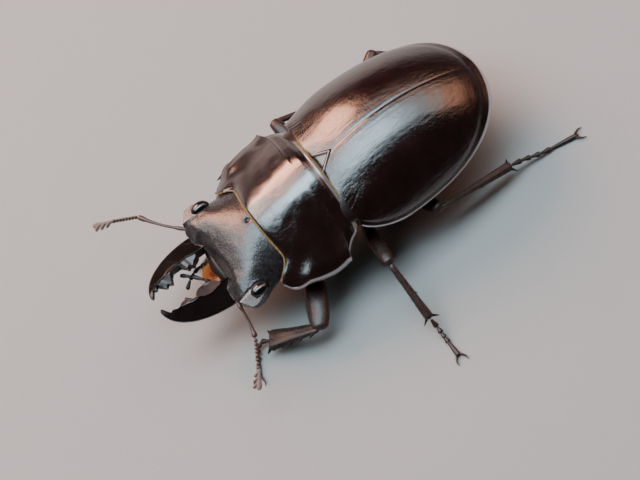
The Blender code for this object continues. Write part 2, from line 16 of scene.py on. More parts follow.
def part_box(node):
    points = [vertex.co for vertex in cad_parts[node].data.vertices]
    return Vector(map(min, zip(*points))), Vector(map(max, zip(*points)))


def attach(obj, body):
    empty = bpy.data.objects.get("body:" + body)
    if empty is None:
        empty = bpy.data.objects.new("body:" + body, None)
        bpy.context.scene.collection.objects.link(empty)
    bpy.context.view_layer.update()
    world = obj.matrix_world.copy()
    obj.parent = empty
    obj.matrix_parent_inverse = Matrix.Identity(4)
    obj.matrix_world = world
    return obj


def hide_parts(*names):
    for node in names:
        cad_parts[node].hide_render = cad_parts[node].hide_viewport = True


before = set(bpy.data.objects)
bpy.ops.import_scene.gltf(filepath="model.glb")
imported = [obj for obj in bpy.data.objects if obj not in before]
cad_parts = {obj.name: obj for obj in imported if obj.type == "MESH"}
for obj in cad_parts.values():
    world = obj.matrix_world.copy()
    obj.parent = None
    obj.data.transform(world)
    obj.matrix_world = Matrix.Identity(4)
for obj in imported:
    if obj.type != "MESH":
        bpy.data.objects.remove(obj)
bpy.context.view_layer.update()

bl_info = {
    "name": "Stag Beetle",
    "version": (1, 0, 0),
    "blender": (4, 5, 0),
    "location": "3D View > Sidebar > Beetle",
    "description": "Builds the plates, limbs and hairs of a life-size stag beetle",
    "category": "Add Mesh",
}

MM = 0.001
SIDES = {"left": 1.0, "right": -1.0}
TURN = 2.0 * math.pi
UP = np.array((0.0, 0.0, 1.0))
NEAR_UP = np.array((0.13, 0.21, 0.97))     # a way that no thorn points in

RIM = 11.5                 # height of the wing covers' rim above the floor
GAP = 0.3                  # clearance between neighbouring plates
WING_APEX = 28.45
WING_LENGTH = 28.5         # from y = 0 to where the half-width's curve closes
WING_FRONT = 0.35
WING_HALF_WIDTH = 12.85
WING_WIDEST = 8.0          # how far behind y = 0 the wing covers are widest
SHOULDER_REACH = 13.4      # length of the front half of the half-width's curve
SHELL = 0.9                # thickness of the wing covers
SEAM = 0.08                # gap between the two wing covers
SCUTELLUM_HALF_WIDTH = 1.5
SCUTELLUM_TIP = 2.85
BODY_SHARE = 0.895         # width of the body as a share of the wing covers'
BELLY_DEPTH = 5.6
ABDOMEN_RINGS = 5
HEAD_DEPTH = 4.7
HEAD_REAR_HALF_WIDTH = 8.7 # where the head's rear follows the shield's front edge
CHIN_HEIGHT = RIM - 5.0
EYE_CENTRE = np.array((8.45, -17.4, RIM))
EYE_RADII = np.array((1.1, 1.55, 1.15))
JAW_BASE = -21.7
JAW_REACH = 9.65
JAW_TIP_X = 1.2
JAW_OUTER_X = 6.75


# ---------------------------------------------------------------- sizes and colours

def linear(hex_colour):
    """An sRGB hex colour as linear red, green and blue.

    Near black it is the value over 12.92, and above that nearly its power of 2.4.
    """
    values = [int(hex_colour[i:i + 2], 16) / 255.0 for i in (1, 3, 5)]
    return tuple(v / 12.92 if v <= 0.04045 else ((v + 0.055) / 1.055) ** 2.4 for v in values)


def size(name, description, millimetres):
    """A length that the user may change, kept in metres."""
    return FloatProperty(name=name, description=description, default=millimetres * MM,
                         min=0.0, unit="LENGTH", precision=5)


def colour(name, description, hex_colour):
    """A colour that the user may change."""
    return FloatVectorProperty(name=name, description=description, subtype="COLOR", size=3,
                               min=0.0, max=1.0, default=linear(hex_colour))


class BeetleSizes(bpy.types.PropertyGroup):
    """Fine sizes of the shell's relief and of the hairs."""

    rim_bead: size("Rim bead", "Height of the bead along the wing covers' rim", 0.2)
    seam_ridge: size("Seam ridge", "Height of the ridges beside the middle seam", 0.022)
    shield_bead: size("Shield bead", "Height of the shield's turned-up side rim", 0.3)
    grain: size("Shell grain", "Size of the shell's fine leathery grain", 0.28)
    fringe_length: size("Fringe", "Length of the hairs behind the shield", 0.5)
    collar_length: size("Collar", "Length of the short hairs in front of the shield", 0.34)
    brush_length: size("Brush", "Length of the hairs of the mouth brush", 1.5)
    bristle_length: size("Bristles", "Length of the bristles on shins and feet", 0.55)
    seed: IntProperty(name="Seed", description="Order of the hairs", default=7)


class BeetleColours(bpy.types.PropertyGroup):
    """Colours of the shell, the limbs and the hairs."""

    shell_dark: colour("Shell, dark", "Black-brown of the wing covers", "#0f0504")
    shell_brown: colour("Shell, brown", "Red-brown under the gloss", "#190909")
    # Painted highlight: the mauve-grey that rims, beads and the head's side plates take where the
    # rim mark is set, in place of the light that they catch.
    rim: colour("Rim", "Mauve-grey of the thin rims", "#94888a")
    head: colour("Head", "Dark grey of the head", "#282526")
    head_dark: colour("Head, dark", "Black-brown beside the eyes", "#0d0909")
    jaw: colour("Jaws", "Black horn", "#0f0a09")
    tooth: colour("Teeth", "Dull grey-black of the tooth plates", "#2a2728")
    leg: colour("Legs", "Black-brown horn", "#090504")
    # Painted lit side: the legs' upper side takes this red-brown; the bristles are this colour too.
    leg_lit_side_and_bristle_brown: colour("Legs, brown", "Red-brown of the upper facets", "#2e1f1b")
    # Painted lit side: this brown goes on the feelers' upper side only, and their underside stays
    # the legs' black-brown.
    feeler: colour("Feelers", "Brown of the feelers", "#3d251c")
    club: colour("Club", "Grey-brown down of the feelers' combs", "#5f4a40")
    belly: colour("Belly", "Black-brown of the underside", "#1c1110")
    gold: colour("Golden hair", "Fringe hairs", "#8c6f30")
    brush: colour("Mouth brush", "Orange hairs between the jaws", "#c8701f")
    floor: colour("Floor", "Pale floor", "#888785")


class BeetleStage(bpy.types.PropertyGroup):
    """Studio light and camera."""

    cool: FloatProperty(name="Cool light", description="Brightness of the overhead soft boxes",
                        default=14.3, min=0.0)
    warm: FloatProperty(name="Warm light", description="Brightness of the right-hand soft boxes",
                        default=24.0, min=0.0)
    walls: FloatProperty(name="Walls", description="Brightness of the studio's pale walls",
                         default=0.12, min=0.0)
    ceiling: FloatProperty(name="Ceiling", description="Brightness of the dark ceiling",
                           default=0.03, min=0.0)
    lens: FloatProperty(name="Lens", description="Focal length of the camera", default=129.9,
                        min=1.0, unit="CAMERA")


# ---------------------------------------------------------------- curves

def smooth(value):
    """Eases from 0 to 1 as value goes from 0 to 1: 3 v squared minus 2 v cubed."""
    value = np.clip(value, 0.0, 1.0)
    return value * value * (3.0 - 2.0 * value)


def arch(across, power, roundness):
    """Height of a round section: (1 - |across| to a power) to another power."""
    return (1.0 - np.minimum(np.abs(across), 1.0) ** power) ** roundness


def dome(across, power, fold):
    """Height of a shell's section: a plain vault, and a steep fold at its edge.

    The vault is 1 - |across| to a power, and the fold is the square root of 1 - |across| to the
    30th power; the fold takes its share of the height.
    """
    across = np.minimum(np.abs(across), 1.0)
    return (1.0 - fold) * (1.0 - across ** power) + fold * np.sqrt(1.0 - across ** 30)


def roof(across, bend, fold):
    """Height of a section like a low roof: level in the middle, then bent to plain flanks.

    Its drop is the cube root of (bend cubed + |across| cubed), less bend, and the edge folds
    as a dome's does.
    """
    across = np.minimum(np.abs(across), 1.0)
    drop = (np.cbrt(bend ** 3 + across ** 3) - bend) / (np.cbrt(bend ** 3 + 1.0) - bend)
    return (1.0 - fold) * (1.0 - drop) + fold * np.sqrt(1.0 - across ** 30)


def swell(place, centre, half_width):
    """A bell-shaped rise: e to minus the square of the distance over the half-width."""
    return np.exp(-(((place - centre) / half_width) ** 2))


def peak(place, centre, half_width):
    """A pointed rise: 1 less the distance over the half-width, to the power 0.9."""
    return np.maximum(0.0, 1.0 - np.abs(place - centre) / half_width) ** 0.9


def curve_through(stations, place):
    """A smooth curve through (place, value) stations that never overshoots them.

    Between two stations it is the cubic with given slopes at both ends, and the slope at a
    station is the harmonic mean of the slopes on its two sides, or 0 where they differ in sign.
    """
    spots, values = np.array(stations, float).T
    spans = np.diff(spots)
    slopes = np.diff(values) / spans
    before, after = slopes[:-1], slopes[1:]
    same = before * after > 0.0
    inner = np.where(same, 2.0 * before * after / np.where(same, before + after, 1.0), 0.0)
    bends = np.concatenate((slopes[:1], inner, slopes[-1:]))
    i = np.clip(np.searchsorted(spots, place) - 1, 0, len(spans) - 1)
    t = np.clip((place - spots[i]) / spans[i], 0.0, 1.0)
    start = (1.0 + 2.0 * t) * (1.0 - t) ** 2 * values[i] + t * (1.0 - t) ** 2 * spans[i] * bends[i]
    end = t * t * (3.0 - 2.0 * t) * values[i + 1] - t * t * (1.0 - t) * spans[i] * bends[i + 1]
    return start + end


def stack(x, y, z):
    """Three arrays as one array of points."""
    return np.stack(np.broadcast_arrays(x, y, z), axis=-1).astype(float)


def mirrored(point, side):
    """Points given for the left side, moved to the side asked for."""
    return np.asarray(point, float) * (side, 1.0, 1.0)


def unwrapped(across, along):
    """Two arrays as one array of spots on the unwrap."""
    return np.stack(np.broadcast_arrays(across, along), axis=-1)


def unit(vectors):
    """Vectors made one long."""
    length = np.linalg.norm(vectors, axis=-1, keepdims=True)
    return vectors / np.maximum(length, 1e-9)


def between(start, end, share):
    """The point at a share of the way from start to end."""
    return start + (end - start) * share


def vault_grid(rows, columns):
    """Shares along a plate from 0 to 1, and across it from -1 to 1, closest at its sides."""
    along = np.linspace(0.0, 1.0, rows)[:, None]
    across = np.sin(np.linspace(-1.0, 1.0, columns) * math.pi / 2.0)[None, :]
    return along, across


# ---------------------------------------------------------------- bodies

def outward(body):
    """Turns a closed body's faces outwards, by the sign of the volume that they enclose."""
    points, quads, tris = body["points"], body["quads"], body["tris"]
    corners = np.concatenate((quads[:, [0, 1, 2]], quads[:, [0, 2, 3]], tris))
    a, b, c = (points[corners[:, i]] for i in range(3))
    if np.einsum("ij,ij->i", a, np.cross(b, c)).sum() < 0.0:
        body["quads"] = quads[:, ::-1]
        body["tris"] = tris[:, ::-1]
    return body


def plate(top, bottom, **marks):
    """A closed body between two grids of points, with a wall along their common border."""
    rows, columns = top.shape[:2]
    number = np.arange(rows * columns).reshape(rows, columns)
    upper = np.stack((number[:-1, :-1], number[:-1, 1:], number[1:, 1:], number[1:, :-1]), -1)
    upper = upper.reshape(-1, 4)
    below = rows * columns
    ring = np.concatenate((number[0, :-1], number[:-1, -1], number[-1, :0:-1], number[:0:-1, 0]))
    ahead = np.roll(ring, -1)
    wall = np.stack((ahead, ring, ring + below, ahead + below), -1)
    points = np.concatenate((top.reshape(-1, 3), bottom.reshape(-1, 3)))
    quads = np.concatenate((upper, upper[:, ::-1] + below, wall))
    kept = {}
    for name, mark in marks.items():
        flat = np.broadcast_to(mark, (rows, columns)).reshape(-1)
        kept[name] = np.concatenate((flat, flat))
    return outward({"points": points, "quads": quads, "tris": np.zeros((0, 3), int),
                    "marks": kept})


def tube(rings, **marks):
    """A closed body from rings of points, with a pole in the middle of each end ring."""
    count, sides = rings.shape[:2]
    number = np.arange(count * sides).reshape(count, sides)
    ahead = np.roll(number, -1, axis=1)
    quads = np.stack((number[:-1], ahead[:-1], ahead[1:], number[1:]), -1).reshape(-1, 4)
    poles = np.stack((rings[0].mean(axis=0), rings[-1].mean(axis=0)))
    first, last = count * sides, count * sides + 1
    start = np.stack((ahead[0], number[0], np.full(sides, first)), -1)
    end = np.stack((number[-1], ahead[-1], np.full(sides, last)), -1)
    points = np.concatenate((rings.reshape(-1, 3), poles))
    kept = {}
    for name, mark in marks.items():
        wide = np.broadcast_to(mark, (count, sides))
        kept[name] = np.concatenate((wide.reshape(-1), [wide[0].mean(), wide[-1].mean()]))
    return outward({"points": points, "quads": quads, "tris": np.concatenate((start, end)),
                    "marks": kept})


def ball(centre, radii, rows=24, sides=36):
    """An egg-shaped body: sines and cosines of two angles, stretched by three radii."""
    rise = np.linspace(0.0, math.pi, rows + 2)[1:-1, None]
    turn = np.linspace(0.0, TURN, sides, endpoint=False)[None, :]
    shape = stack(np.sin(rise) * np.cos(turn), np.sin(rise) * np.sin(turn), np.cos(rise))
    return tube(np.asarray(centre) + shape * np.asarray(radii))


def limb(stations, sides, per_mm, power=2.0, ridges=0, ridge_depth=0.0, sole=False):
    """A limb through stations of (centre, width, depth), with round ends.

    Centre, width and depth follow smooth curves along the limb.  Its section is a rounded
    rectangle |x| to a power + |z| to a power = 1, with ridges added as a cosine of the angle.
    With sole, what is below the floor is laid flat on it.
    """
    centres = np.array([station[0] for station in stations], float)
    widths = np.array([station[1] for station in stations], float)
    depths = np.array([station[2] for station in stations], float)
    spots = np.concatenate(([0.0], np.linalg.norm(np.diff(centres, axis=0), axis=1).cumsum()))
    length = spots[-1]
    count = max(int(length * per_mm), 12)
    place = length * (1.0 - np.cos(np.linspace(0.0, math.pi, count + 2)[1:-1])) / 2.0
    path = np.stack([curve_through(np.stack((spots, centres[:, i]), 1), place)
                     for i in range(3)], -1)
    width = curve_through(np.stack((spots, widths), 1), place)
    depth = curve_through(np.stack((spots, depths), 1), place)
    for end_distance, end_size in ((place, min(widths[0], depths[0])),
                                   (length - place, min(widths[-1], depths[-1]))):
        part = np.clip(end_distance / (0.4 * end_size), 0.0, 1.0)
        rounding = np.sqrt(1.0 - (1.0 - part) ** 2)
        width = width * rounding
        depth = depth * rounding
    ahead = unit(np.gradient(path, axis=0))
    side = unit(np.cross(ahead, UP))
    rise = np.cross(side, ahead)
    turn = np.linspace(0.0, TURN, sides, endpoint=False)
    radius = (np.abs(np.cos(turn)) ** power + np.abs(np.sin(turn)) ** power) ** (-1.0 / power)
    radius = radius * (1.0 + ridge_depth * np.cos(ridges * turn))
    across = (radius * np.cos(turn))[None, :, None] * side[:, None, :]
    across = across * width[:, None, None] / 2.0
    along_depth = (radius * np.sin(turn))[None, :, None] * rise[:, None, :]
    rings = path[:, None, :] + across + along_depth * depth[:, None, None] / 2.0
    if sole:
        rings[..., 2] = np.maximum(rings[..., 2], 0.0)
    # upper marks each section's upper side; the leg and feeler materials paint it lighter, as a
    # painted lit side.
    upper = smooth(0.5 + 0.9 * np.sin(turn))[None, :]
    return tube(rings, upper=upper, along=(place / length)[:, None])


def thorn(foot, tip, thickness, hook, sides=8):
    """A curved thorn that narrows to its point as a root of what is left of its length.

    Its middle line bows upwards by hook, as half a sine.
    """
    foot, tip = np.asarray(foot, float), np.asarray(tip, float)
    t = np.linspace(0.0, 0.97, 9)
    path = between(foot, tip, t[:, None]) + UP * hook * np.sin(t * math.pi)[:, None]
    ahead = unit(np.gradient(path, axis=0))
    side = unit(np.cross(ahead, NEAR_UP))
    rise = np.cross(side, ahead)
    radius = (thickness / 2.0 * (1.0 - t) ** 0.7)[:, None, None]
    turn = np.linspace(0.0, TURN, sides, endpoint=False)[None, :, None]
    ring = np.cos(turn) * side[:, None, :] + np.sin(turn) * rise[:, None, :]
    return tube(path[:, None, :] + radius * ring)


# ---------------------------------------------------------------- pieces

def find_origin():
    """Where the beetle's own frame has its origin, in metres, from the two wing covers."""
    left_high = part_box("elytron_left")[1]
    right_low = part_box("elytron_right")[0]
    return np.array(((left_high.x + right_low.x) / 2.0, left_high.y - WING_APEX * MM, 0.0))


ORIGIN = find_origin()


def make_mesh(name, points, quads, tris):
    """A mesh from arrays of points in metres and of faces with four and three corners."""
    mesh = bpy.data.meshes.new(name)
    corners = np.concatenate((quads.reshape(-1), tris.reshape(-1))).astype(np.int32)
    starts = np.concatenate((np.arange(len(quads)) * 4,
                             len(quads) * 4 + np.arange(len(tris)) * 3)).astype(np.int32)
    mesh.vertices.add(len(points))
    mesh.vertices.foreach_set("co", points.astype(np.float32).reshape(-1))
    mesh.loops.add(len(corners))
    mesh.loops.foreach_set("vertex_index", corners)
    mesh.polygons.add(len(starts))
    mesh.polygons.foreach_set("loop_start", starts)
    mesh.update(calc_edges=True)
    return mesh


def add_piece(name, bodies, material, nodes=(), sharp=50.0):
    """Joins closed bodies into one object at the origin, which rides on the beetle."""
    points, quads, tris, offset = [], [], [], 0
    names = sorted({mark for body in bodies for mark in body["marks"]})
    marks = {mark: [] for mark in names}
    for body in bodies:
        points.append(body["points"])
        quads.append(body["quads"] + offset)
        tris.append(body["tris"] + offset)
        for mark in names:
            marks[mark].append(body["marks"].get(mark, np.zeros(len(body["points"]))))
        offset += len(body["points"])
    points = np.concatenate(points) * MM + ORIGIN
    mesh = make_mesh(name, points, np.concatenate(quads), np.concatenate(tris))
    for mark in names:
        layer = mesh.attributes.new(mark, "FLOAT", "POINT")
        layer.data.foreach_set("value", np.concatenate(marks[mark]).astype(np.float32))
    mesh.shade_smooth()
    mesh.set_sharp_from_angle(angle=math.radians(sharp))
    mesh.materials.append(material)
    piece = bpy.data.objects.new(name, mesh)
    bpy.context.scene.collection.objects.link(piece)
    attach(piece, "root")
    if nodes:
        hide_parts(*nodes)
    return piece


BLADE_STEPS = (0.0, 0.4, 0.75)     # where a hair's three rings lie along it, before its point
BLADE_POINTS = 10                  # three rings of three points, and the point of the hair
PATCH_STEP = 0.001                 # distance of a hair's points from each other on the unwrap


def blades(roots, ways, lengths, width, places, random):
    """Hairs: closed three-sided blades that narrow to a point, each a little out of line.

    places are the roots' spots on an unwrap of the skin, where each blade gets its own patch.
    """
    count = len(roots)
    lengths = np.broadcast_to(lengths, count)
    ways = unit(ways + random.normal(0.0, 0.12, (count, 3)))
    side = unit(np.cross(ways, random.normal(0.0, 1.0, (count, 3))))
    rise = np.cross(side, ways)
    steps = np.array(BLADE_STEPS)
    turn = np.arange(3) * TURN / 3.0
    ring = side[:, None, None, :] * np.cos(turn)[None, None, :, None]
    ring = ring + rise[:, None, None, :] * np.sin(turn)[None, None, :, None]
    thickness = width / 2.0 * (1.0 - steps ** 1.6)
    spine = roots[:, None, :] + ways[:, None, :] * (lengths[:, None] * steps)[..., None]
    rings = spine[:, :, None, :] + ring * thickness[None, :, None, None]
    tips = roots + ways * lengths[:, None]
    points = np.concatenate((rings.reshape(count, 9, 3), tips[:, None, :]), axis=1)
    quads = [(i + j, i + (j + 1) % 3, i + 3 + (j + 1) % 3, i + 3 + j)
             for i in (0, 3) for j in range(3)]
    tris = [(6 + j, 6 + (j + 1) % 3, 9) for j in range(3)] + [(2, 1, 0)]
    offsets = np.arange(count)[:, None, None] * BLADE_POINTS
    spots = np.array([(PATCH_STEP * (i % 3), PATCH_STEP * (i // 3)) for i in range(BLADE_POINTS)])
    tone = np.repeat(random.random(count), BLADE_POINTS)
    along = np.tile(np.repeat((*BLADE_STEPS, 1.0), (3, 3, 3, 1)), count)
    body = {"points": points.reshape(-1, 3),
            "quads": (np.array(quads)[None] + offsets).reshape(-1, 4),
            "tris": (np.array(tris)[None] + offsets).reshape(-1, 3),
            "marks": {"tone": tone, "along": along}}
    body["unwrap"] = (np.asarray(places)[:, None, :] + spots[None]).reshape(-1, 2)
    return outward(body)


def add_hair(name, bodies, material, nodes=()):
    """Hairs as one piece, with the unwrap that gives each blade its own patch."""
    piece = add_piece(name, bodies, material, nodes)
    mesh = piece.data
    unwrap = np.concatenate([body["unwrap"] for body in bodies])
    corners = np.zeros(len(mesh.loops), np.int32)
    mesh.loops.foreach_get("vertex_index", corners)
    layer = mesh.uv_layers.new(name="OFBake")
    layer.data.foreach_set("uv", unwrap[corners].astype(np.float32).reshape(-1))
    return piece


# ---------------------------------------------------------------- materials

MIX_A, MIX_B, MIX_RESULT = 6, 7, 2     # a Mix node's colour sockets


def add_node(material, kind, inputs=None, **settings):
    """Adds a node with its settings; an input is given as a value or as a socket to link."""
    tree = material.node_tree
    node = tree.nodes.new("ShaderNode" + kind)
    for name, value in settings.items():
        setattr(node, name, value)
    for name, value in (inputs or {}).items():
        if isinstance(value, bpy.types.NodeSocket):
            tree.links.new(value, node.inputs[name])
        else:
            node.inputs[name].default_value = value
    return node


def per_mm(millimetres):
    """The scale of a pattern on Object coordinates whose features are so many mm across."""
    return 1.0 / (millimetres * MM)


def new_material(name, roughness, ior=1.55, coat=0.0, coat_roughness=0.1, sheen=0.0):
    """A material with a Principled shader whose plain values are set."""
    material = bpy.data.materials.new(name)
    material.use_nodes = True
    surface = material.node_tree.nodes["Principled BSDF"]
    values = {"Roughness": roughness, "IOR": ior, "Coat Weight": coat,
              "Coat Roughness": coat_roughness, "Sheen Weight": sheen}
    for socket, value in values.items():
        surface.inputs[socket].default_value = value
    return material, surface


def link(material, output, surface, socket):
    """Links an output to one of the surface's sockets."""
    material.node_tree.links.new(output, surface.inputs[socket])


def rgba(values):
    """A colour property with an alpha of 1."""
    return (*values, 1.0)


def shell_material(name, dark, light, rim, roughness, grain_mm, grain_height, streak_height,
                   wave_height, coat, ior, patch_mm=3.0):
    """Beetle cuticle, hardened and waxed: dark and glossy, with soft-edged reflections.

    Cloudy patches change its brown, shallow dents and a leathery grain break up the edges
    of reflections, and fine wrinkles run lengthwise.  Where the rim mark is set, its thin rims
    and edges take a paler colour: a painted highlight, in place of the light that they catch.
    The index is near or above horn's 1.56, because layered cuticle mirrors more.
    """
    material, surface = new_material(name, roughness, ior, coat, 0.12)
    spot = add_node(material, "TexCoord").outputs["Object"]
    cloud = add_node(material, "TexNoise", {"Vector": spot, "Scale": per_mm(patch_mm),
                                            "Detail": 4.0, "Roughness": 0.6})
    share = add_node(material, "MapRange", {"Value": cloud.outputs["Fac"], "From Min": 0.35,
                                            "From Max": 0.7})
    brown = add_node(material, "Mix", {0: share.outputs[0], MIX_A: rgba(dark),
                                       MIX_B: rgba(light)}, data_type="RGBA")
    # Painted highlight: where the rim mark is set, the colour turns to the paler rim colour.
    edge = add_node(material, "Attribute", attribute_name="rim")
    paler = add_node(material, "Mix", {0: edge.outputs["Fac"], MIX_A: brown.outputs[MIX_RESULT],
                                       MIX_B: rgba(rim)}, data_type="RGBA")
    link(material, paler.outputs[MIX_RESULT], surface, "Base Color")
    grain = add_node(material, "TexNoise", {"Vector": spot, "Scale": per_mm(grain_mm),
                                            "Detail": 3.0, "Roughness": 0.65})
    worn = add_node(material, "TexNoise", {"Vector": spot, "Scale": per_mm(patch_mm * 0.4),
                                           "Detail": 5.0})
    gloss = add_node(material, "MapRange", {"Value": worn.outputs["Fac"], "From Min": 0.3,
                                            "From Max": 0.75, "To Min": roughness * 0.9,
                                            "To Max": roughness * 1.15})
    link(material, gloss.outputs[0], surface, "Roughness")
    lengthwise = add_node(material, "Mapping", {"Vector": spot, "Scale": (1.0, 0.16, 1.0)})
    wrinkles = add_node(material, "TexNoise", {"Vector": lengthwise.outputs[0],
                                               "Scale": per_mm(0.55), "Detail": 3.0})
    streaks = add_node(material, "Bump", {"Height": wrinkles.outputs["Fac"], "Strength": 1.0,
                                          "Distance": streak_height * MM})
    dents = add_node(material, "TexNoise", {"Vector": spot, "Scale": per_mm(2.0), "Detail": 1.0})
    waves = add_node(material, "Bump", {"Height": dents.outputs["Fac"], "Strength": 1.0,
                                        "Distance": wave_height * MM,
                                        "Normal": streaks.outputs["Normal"]})
    relief = add_node(material, "Bump", {"Height": grain.outputs["Fac"], "Strength": 1.0,
                                         "Distance": grain_height * MM,
                                         "Normal": waves.outputs["Normal"]})
    link(material, relief.outputs["Normal"], surface, "Normal")
    return material


def horn_material(name, dark, light, mark, roughness, grain_mm, grain_height, ior, matt=0.0):
    """Solid horn of jaws and legs, rubbed smooth: near black, browner where a mark says so.

    On the jaws the mark is their tooth plates, and the duller grey there is their own; on legs
    and feelers it is their upper side, and the browner colour there is a painted lit side.
    With matt, the marked parts are also scratched dull, as the teeth of the jaws are.  The index
    is below horn's 1.56, because fine scratches take some of its gloss.
    """
    material, surface = new_material(name, roughness, ior)
    spot = add_node(material, "TexCoord").outputs["Object"]
    place = add_node(material, "Attribute", attribute_name=mark)
    cloud = add_node(material, "TexNoise", {"Vector": spot, "Scale": per_mm(1.2),
                                            "Detail": 3.0})
    share = add_node(material, "Math", {0: place.outputs["Fac"], 1: cloud.outputs["Fac"]},
                     operation="MULTIPLY")
    wide = add_node(material, "MapRange", {"Value": share.outputs[0], "From Min": 0.05,
                                           "From Max": 0.55})
    # Where the mark is a limb's upper side, this lighter colour is a painted lit side.
    brown = add_node(material, "Mix", {0: wide.outputs[0], MIX_A: rgba(dark),
                                       MIX_B: rgba(light)}, data_type="RGBA")
    link(material, brown.outputs[MIX_RESULT], surface, "Base Color")
    grain = add_node(material, "TexNoise", {"Vector": spot, "Scale": per_mm(grain_mm),
                                            "Detail": 3.0})
    gloss = add_node(material, "MapRange", {"Value": grain.outputs["Fac"], "From Min": 0.3,
                                            "From Max": 0.7, "To Min": roughness * 0.75,
                                            "To Max": roughness * 1.4})
    worn = add_node(material, "Math", {0: place.outputs["Fac"], 1: matt, 2: gloss.outputs[0]},
                    operation="MULTIPLY_ADD")
    link(material, worn.outputs[0], surface, "Roughness")
    relief = add_node(material, "Bump", {"Height": grain.outputs["Fac"], "Strength": 0.5,
                                         "Distance": grain_height * MM})
    link(material, relief.outputs["Normal"], surface, "Normal")
    return material


def eye_material():
    """A compound eye: hundreds of tiny lenses under one polished black dome.

    The lenses are drawn 0.09 mm wide, about four times their real width, so that they show.
    """
    material, surface = new_material("polished_compound_eye", 0.1, 1.5, 0.3, 0.04)
    spot = add_node(material, "TexCoord").outputs["Object"]
    lenses = add_node(material, "TexVoronoi", {"Vector": spot, "Scale": per_mm(0.09)})
    # Painted shade: each lens is darker towards its edge, in the hollows where the lenses meet.
    lens_edge_shade = add_node(material, "Mix", {0: lenses.outputs["Distance"],
                                      MIX_A: rgba(linear("#141011")),
                                      MIX_B: rgba(linear("#030303"))}, data_type="RGBA")
    link(material, lens_edge_shade.outputs[MIX_RESULT], surface, "Base Color")
    relief = add_node(material, "Bump", {"Height": lenses.outputs["Distance"], "Strength": 0.25,
                                         "Distance": 0.01 * MM}, invert=True)
    link(material, relief.outputs["Normal"], surface, "Normal")
    return material


def down_material(name, base):
    """The combs' covering of very short dense down: matt and pale, with a soft sheen."""
    material, surface = new_material(name, 0.75, 1.5, 0.0, 0.3, 0.5)
    spot = add_node(material, "TexCoord").outputs["Object"]
    fuzz = add_node(material, "TexNoise", {"Vector": spot, "Scale": per_mm(0.09),
                                           "Detail": 4.0, "Roughness": 0.7})
    tint = add_node(material, "Mix", {0: fuzz.outputs["Fac"],
                                      MIX_A: rgba([value * 0.55 for value in base]),
                                      MIX_B: rgba([min(value * 1.35, 1.0) for value in base])},
                    data_type="RGBA")
    link(material, tint.outputs[MIX_RESULT], surface, "Base Color")
    relief = add_node(material, "Bump", {"Height": fuzz.outputs["Fac"], "Strength": 0.8,
                                         "Distance": 0.04 * MM})
    link(material, relief.outputs["Normal"], surface, "Normal")
    return material


def hair_material(name, base):
    """Stiff insect hair: translucent horn, paler at the tip and darker at the root.

    The darker root is painted shade, where the hairs crowd and meet the skin.
    """
    material, surface = new_material(name, 0.45, 1.55, 0.0, 0.3, 0.2)
    along = add_node(material, "Attribute", attribute_name="along")
    tone = add_node(material, "Attribute", attribute_name="tone")
    # Painted shade at the roots: the colour darkens towards each hair's root and pales towards its
    # tip.
    pale = add_node(material, "Mix", {0: along.outputs["Fac"],
                                      MIX_A: rgba([value * 0.45 for value in base]),
                                      MIX_B: rgba([min(value * 1.3, 1.0) for value in base])},
                    data_type="RGBA")
    varied = add_node(material, "MapRange", {"Value": tone.outputs["Fac"], "To Min": 0.7,
                                             "To Max": 1.25})
    tinted = add_node(material, "VectorMath", {0: pale.outputs[MIX_RESULT],
                                               "Scale": varied.outputs[0]}, operation="SCALE")
    link(material, tinted.outputs[0], surface, "Base Color")
    return material


def card_material(base):
    """Matt board: pale, even and without gloss, with a faint fibre in it."""
    material, surface = new_material("matt_pale_card", 0.85, 1.45)
    spot = add_node(material, "TexCoord").outputs["Object"]
    fibre = add_node(material, "TexNoise", {"Vector": spot, "Scale": per_mm(6.0),
                                            "Detail": 5.0})
    tint = add_node(material, "Mix", {0: fibre.outputs["Fac"],
                                      MIX_A: rgba([value * 0.97 for value in base]),
                                      MIX_B: rgba(base)}, data_type="RGBA")
    link(material, tint.outputs[MIX_RESULT], surface, "Base Color")
    return material


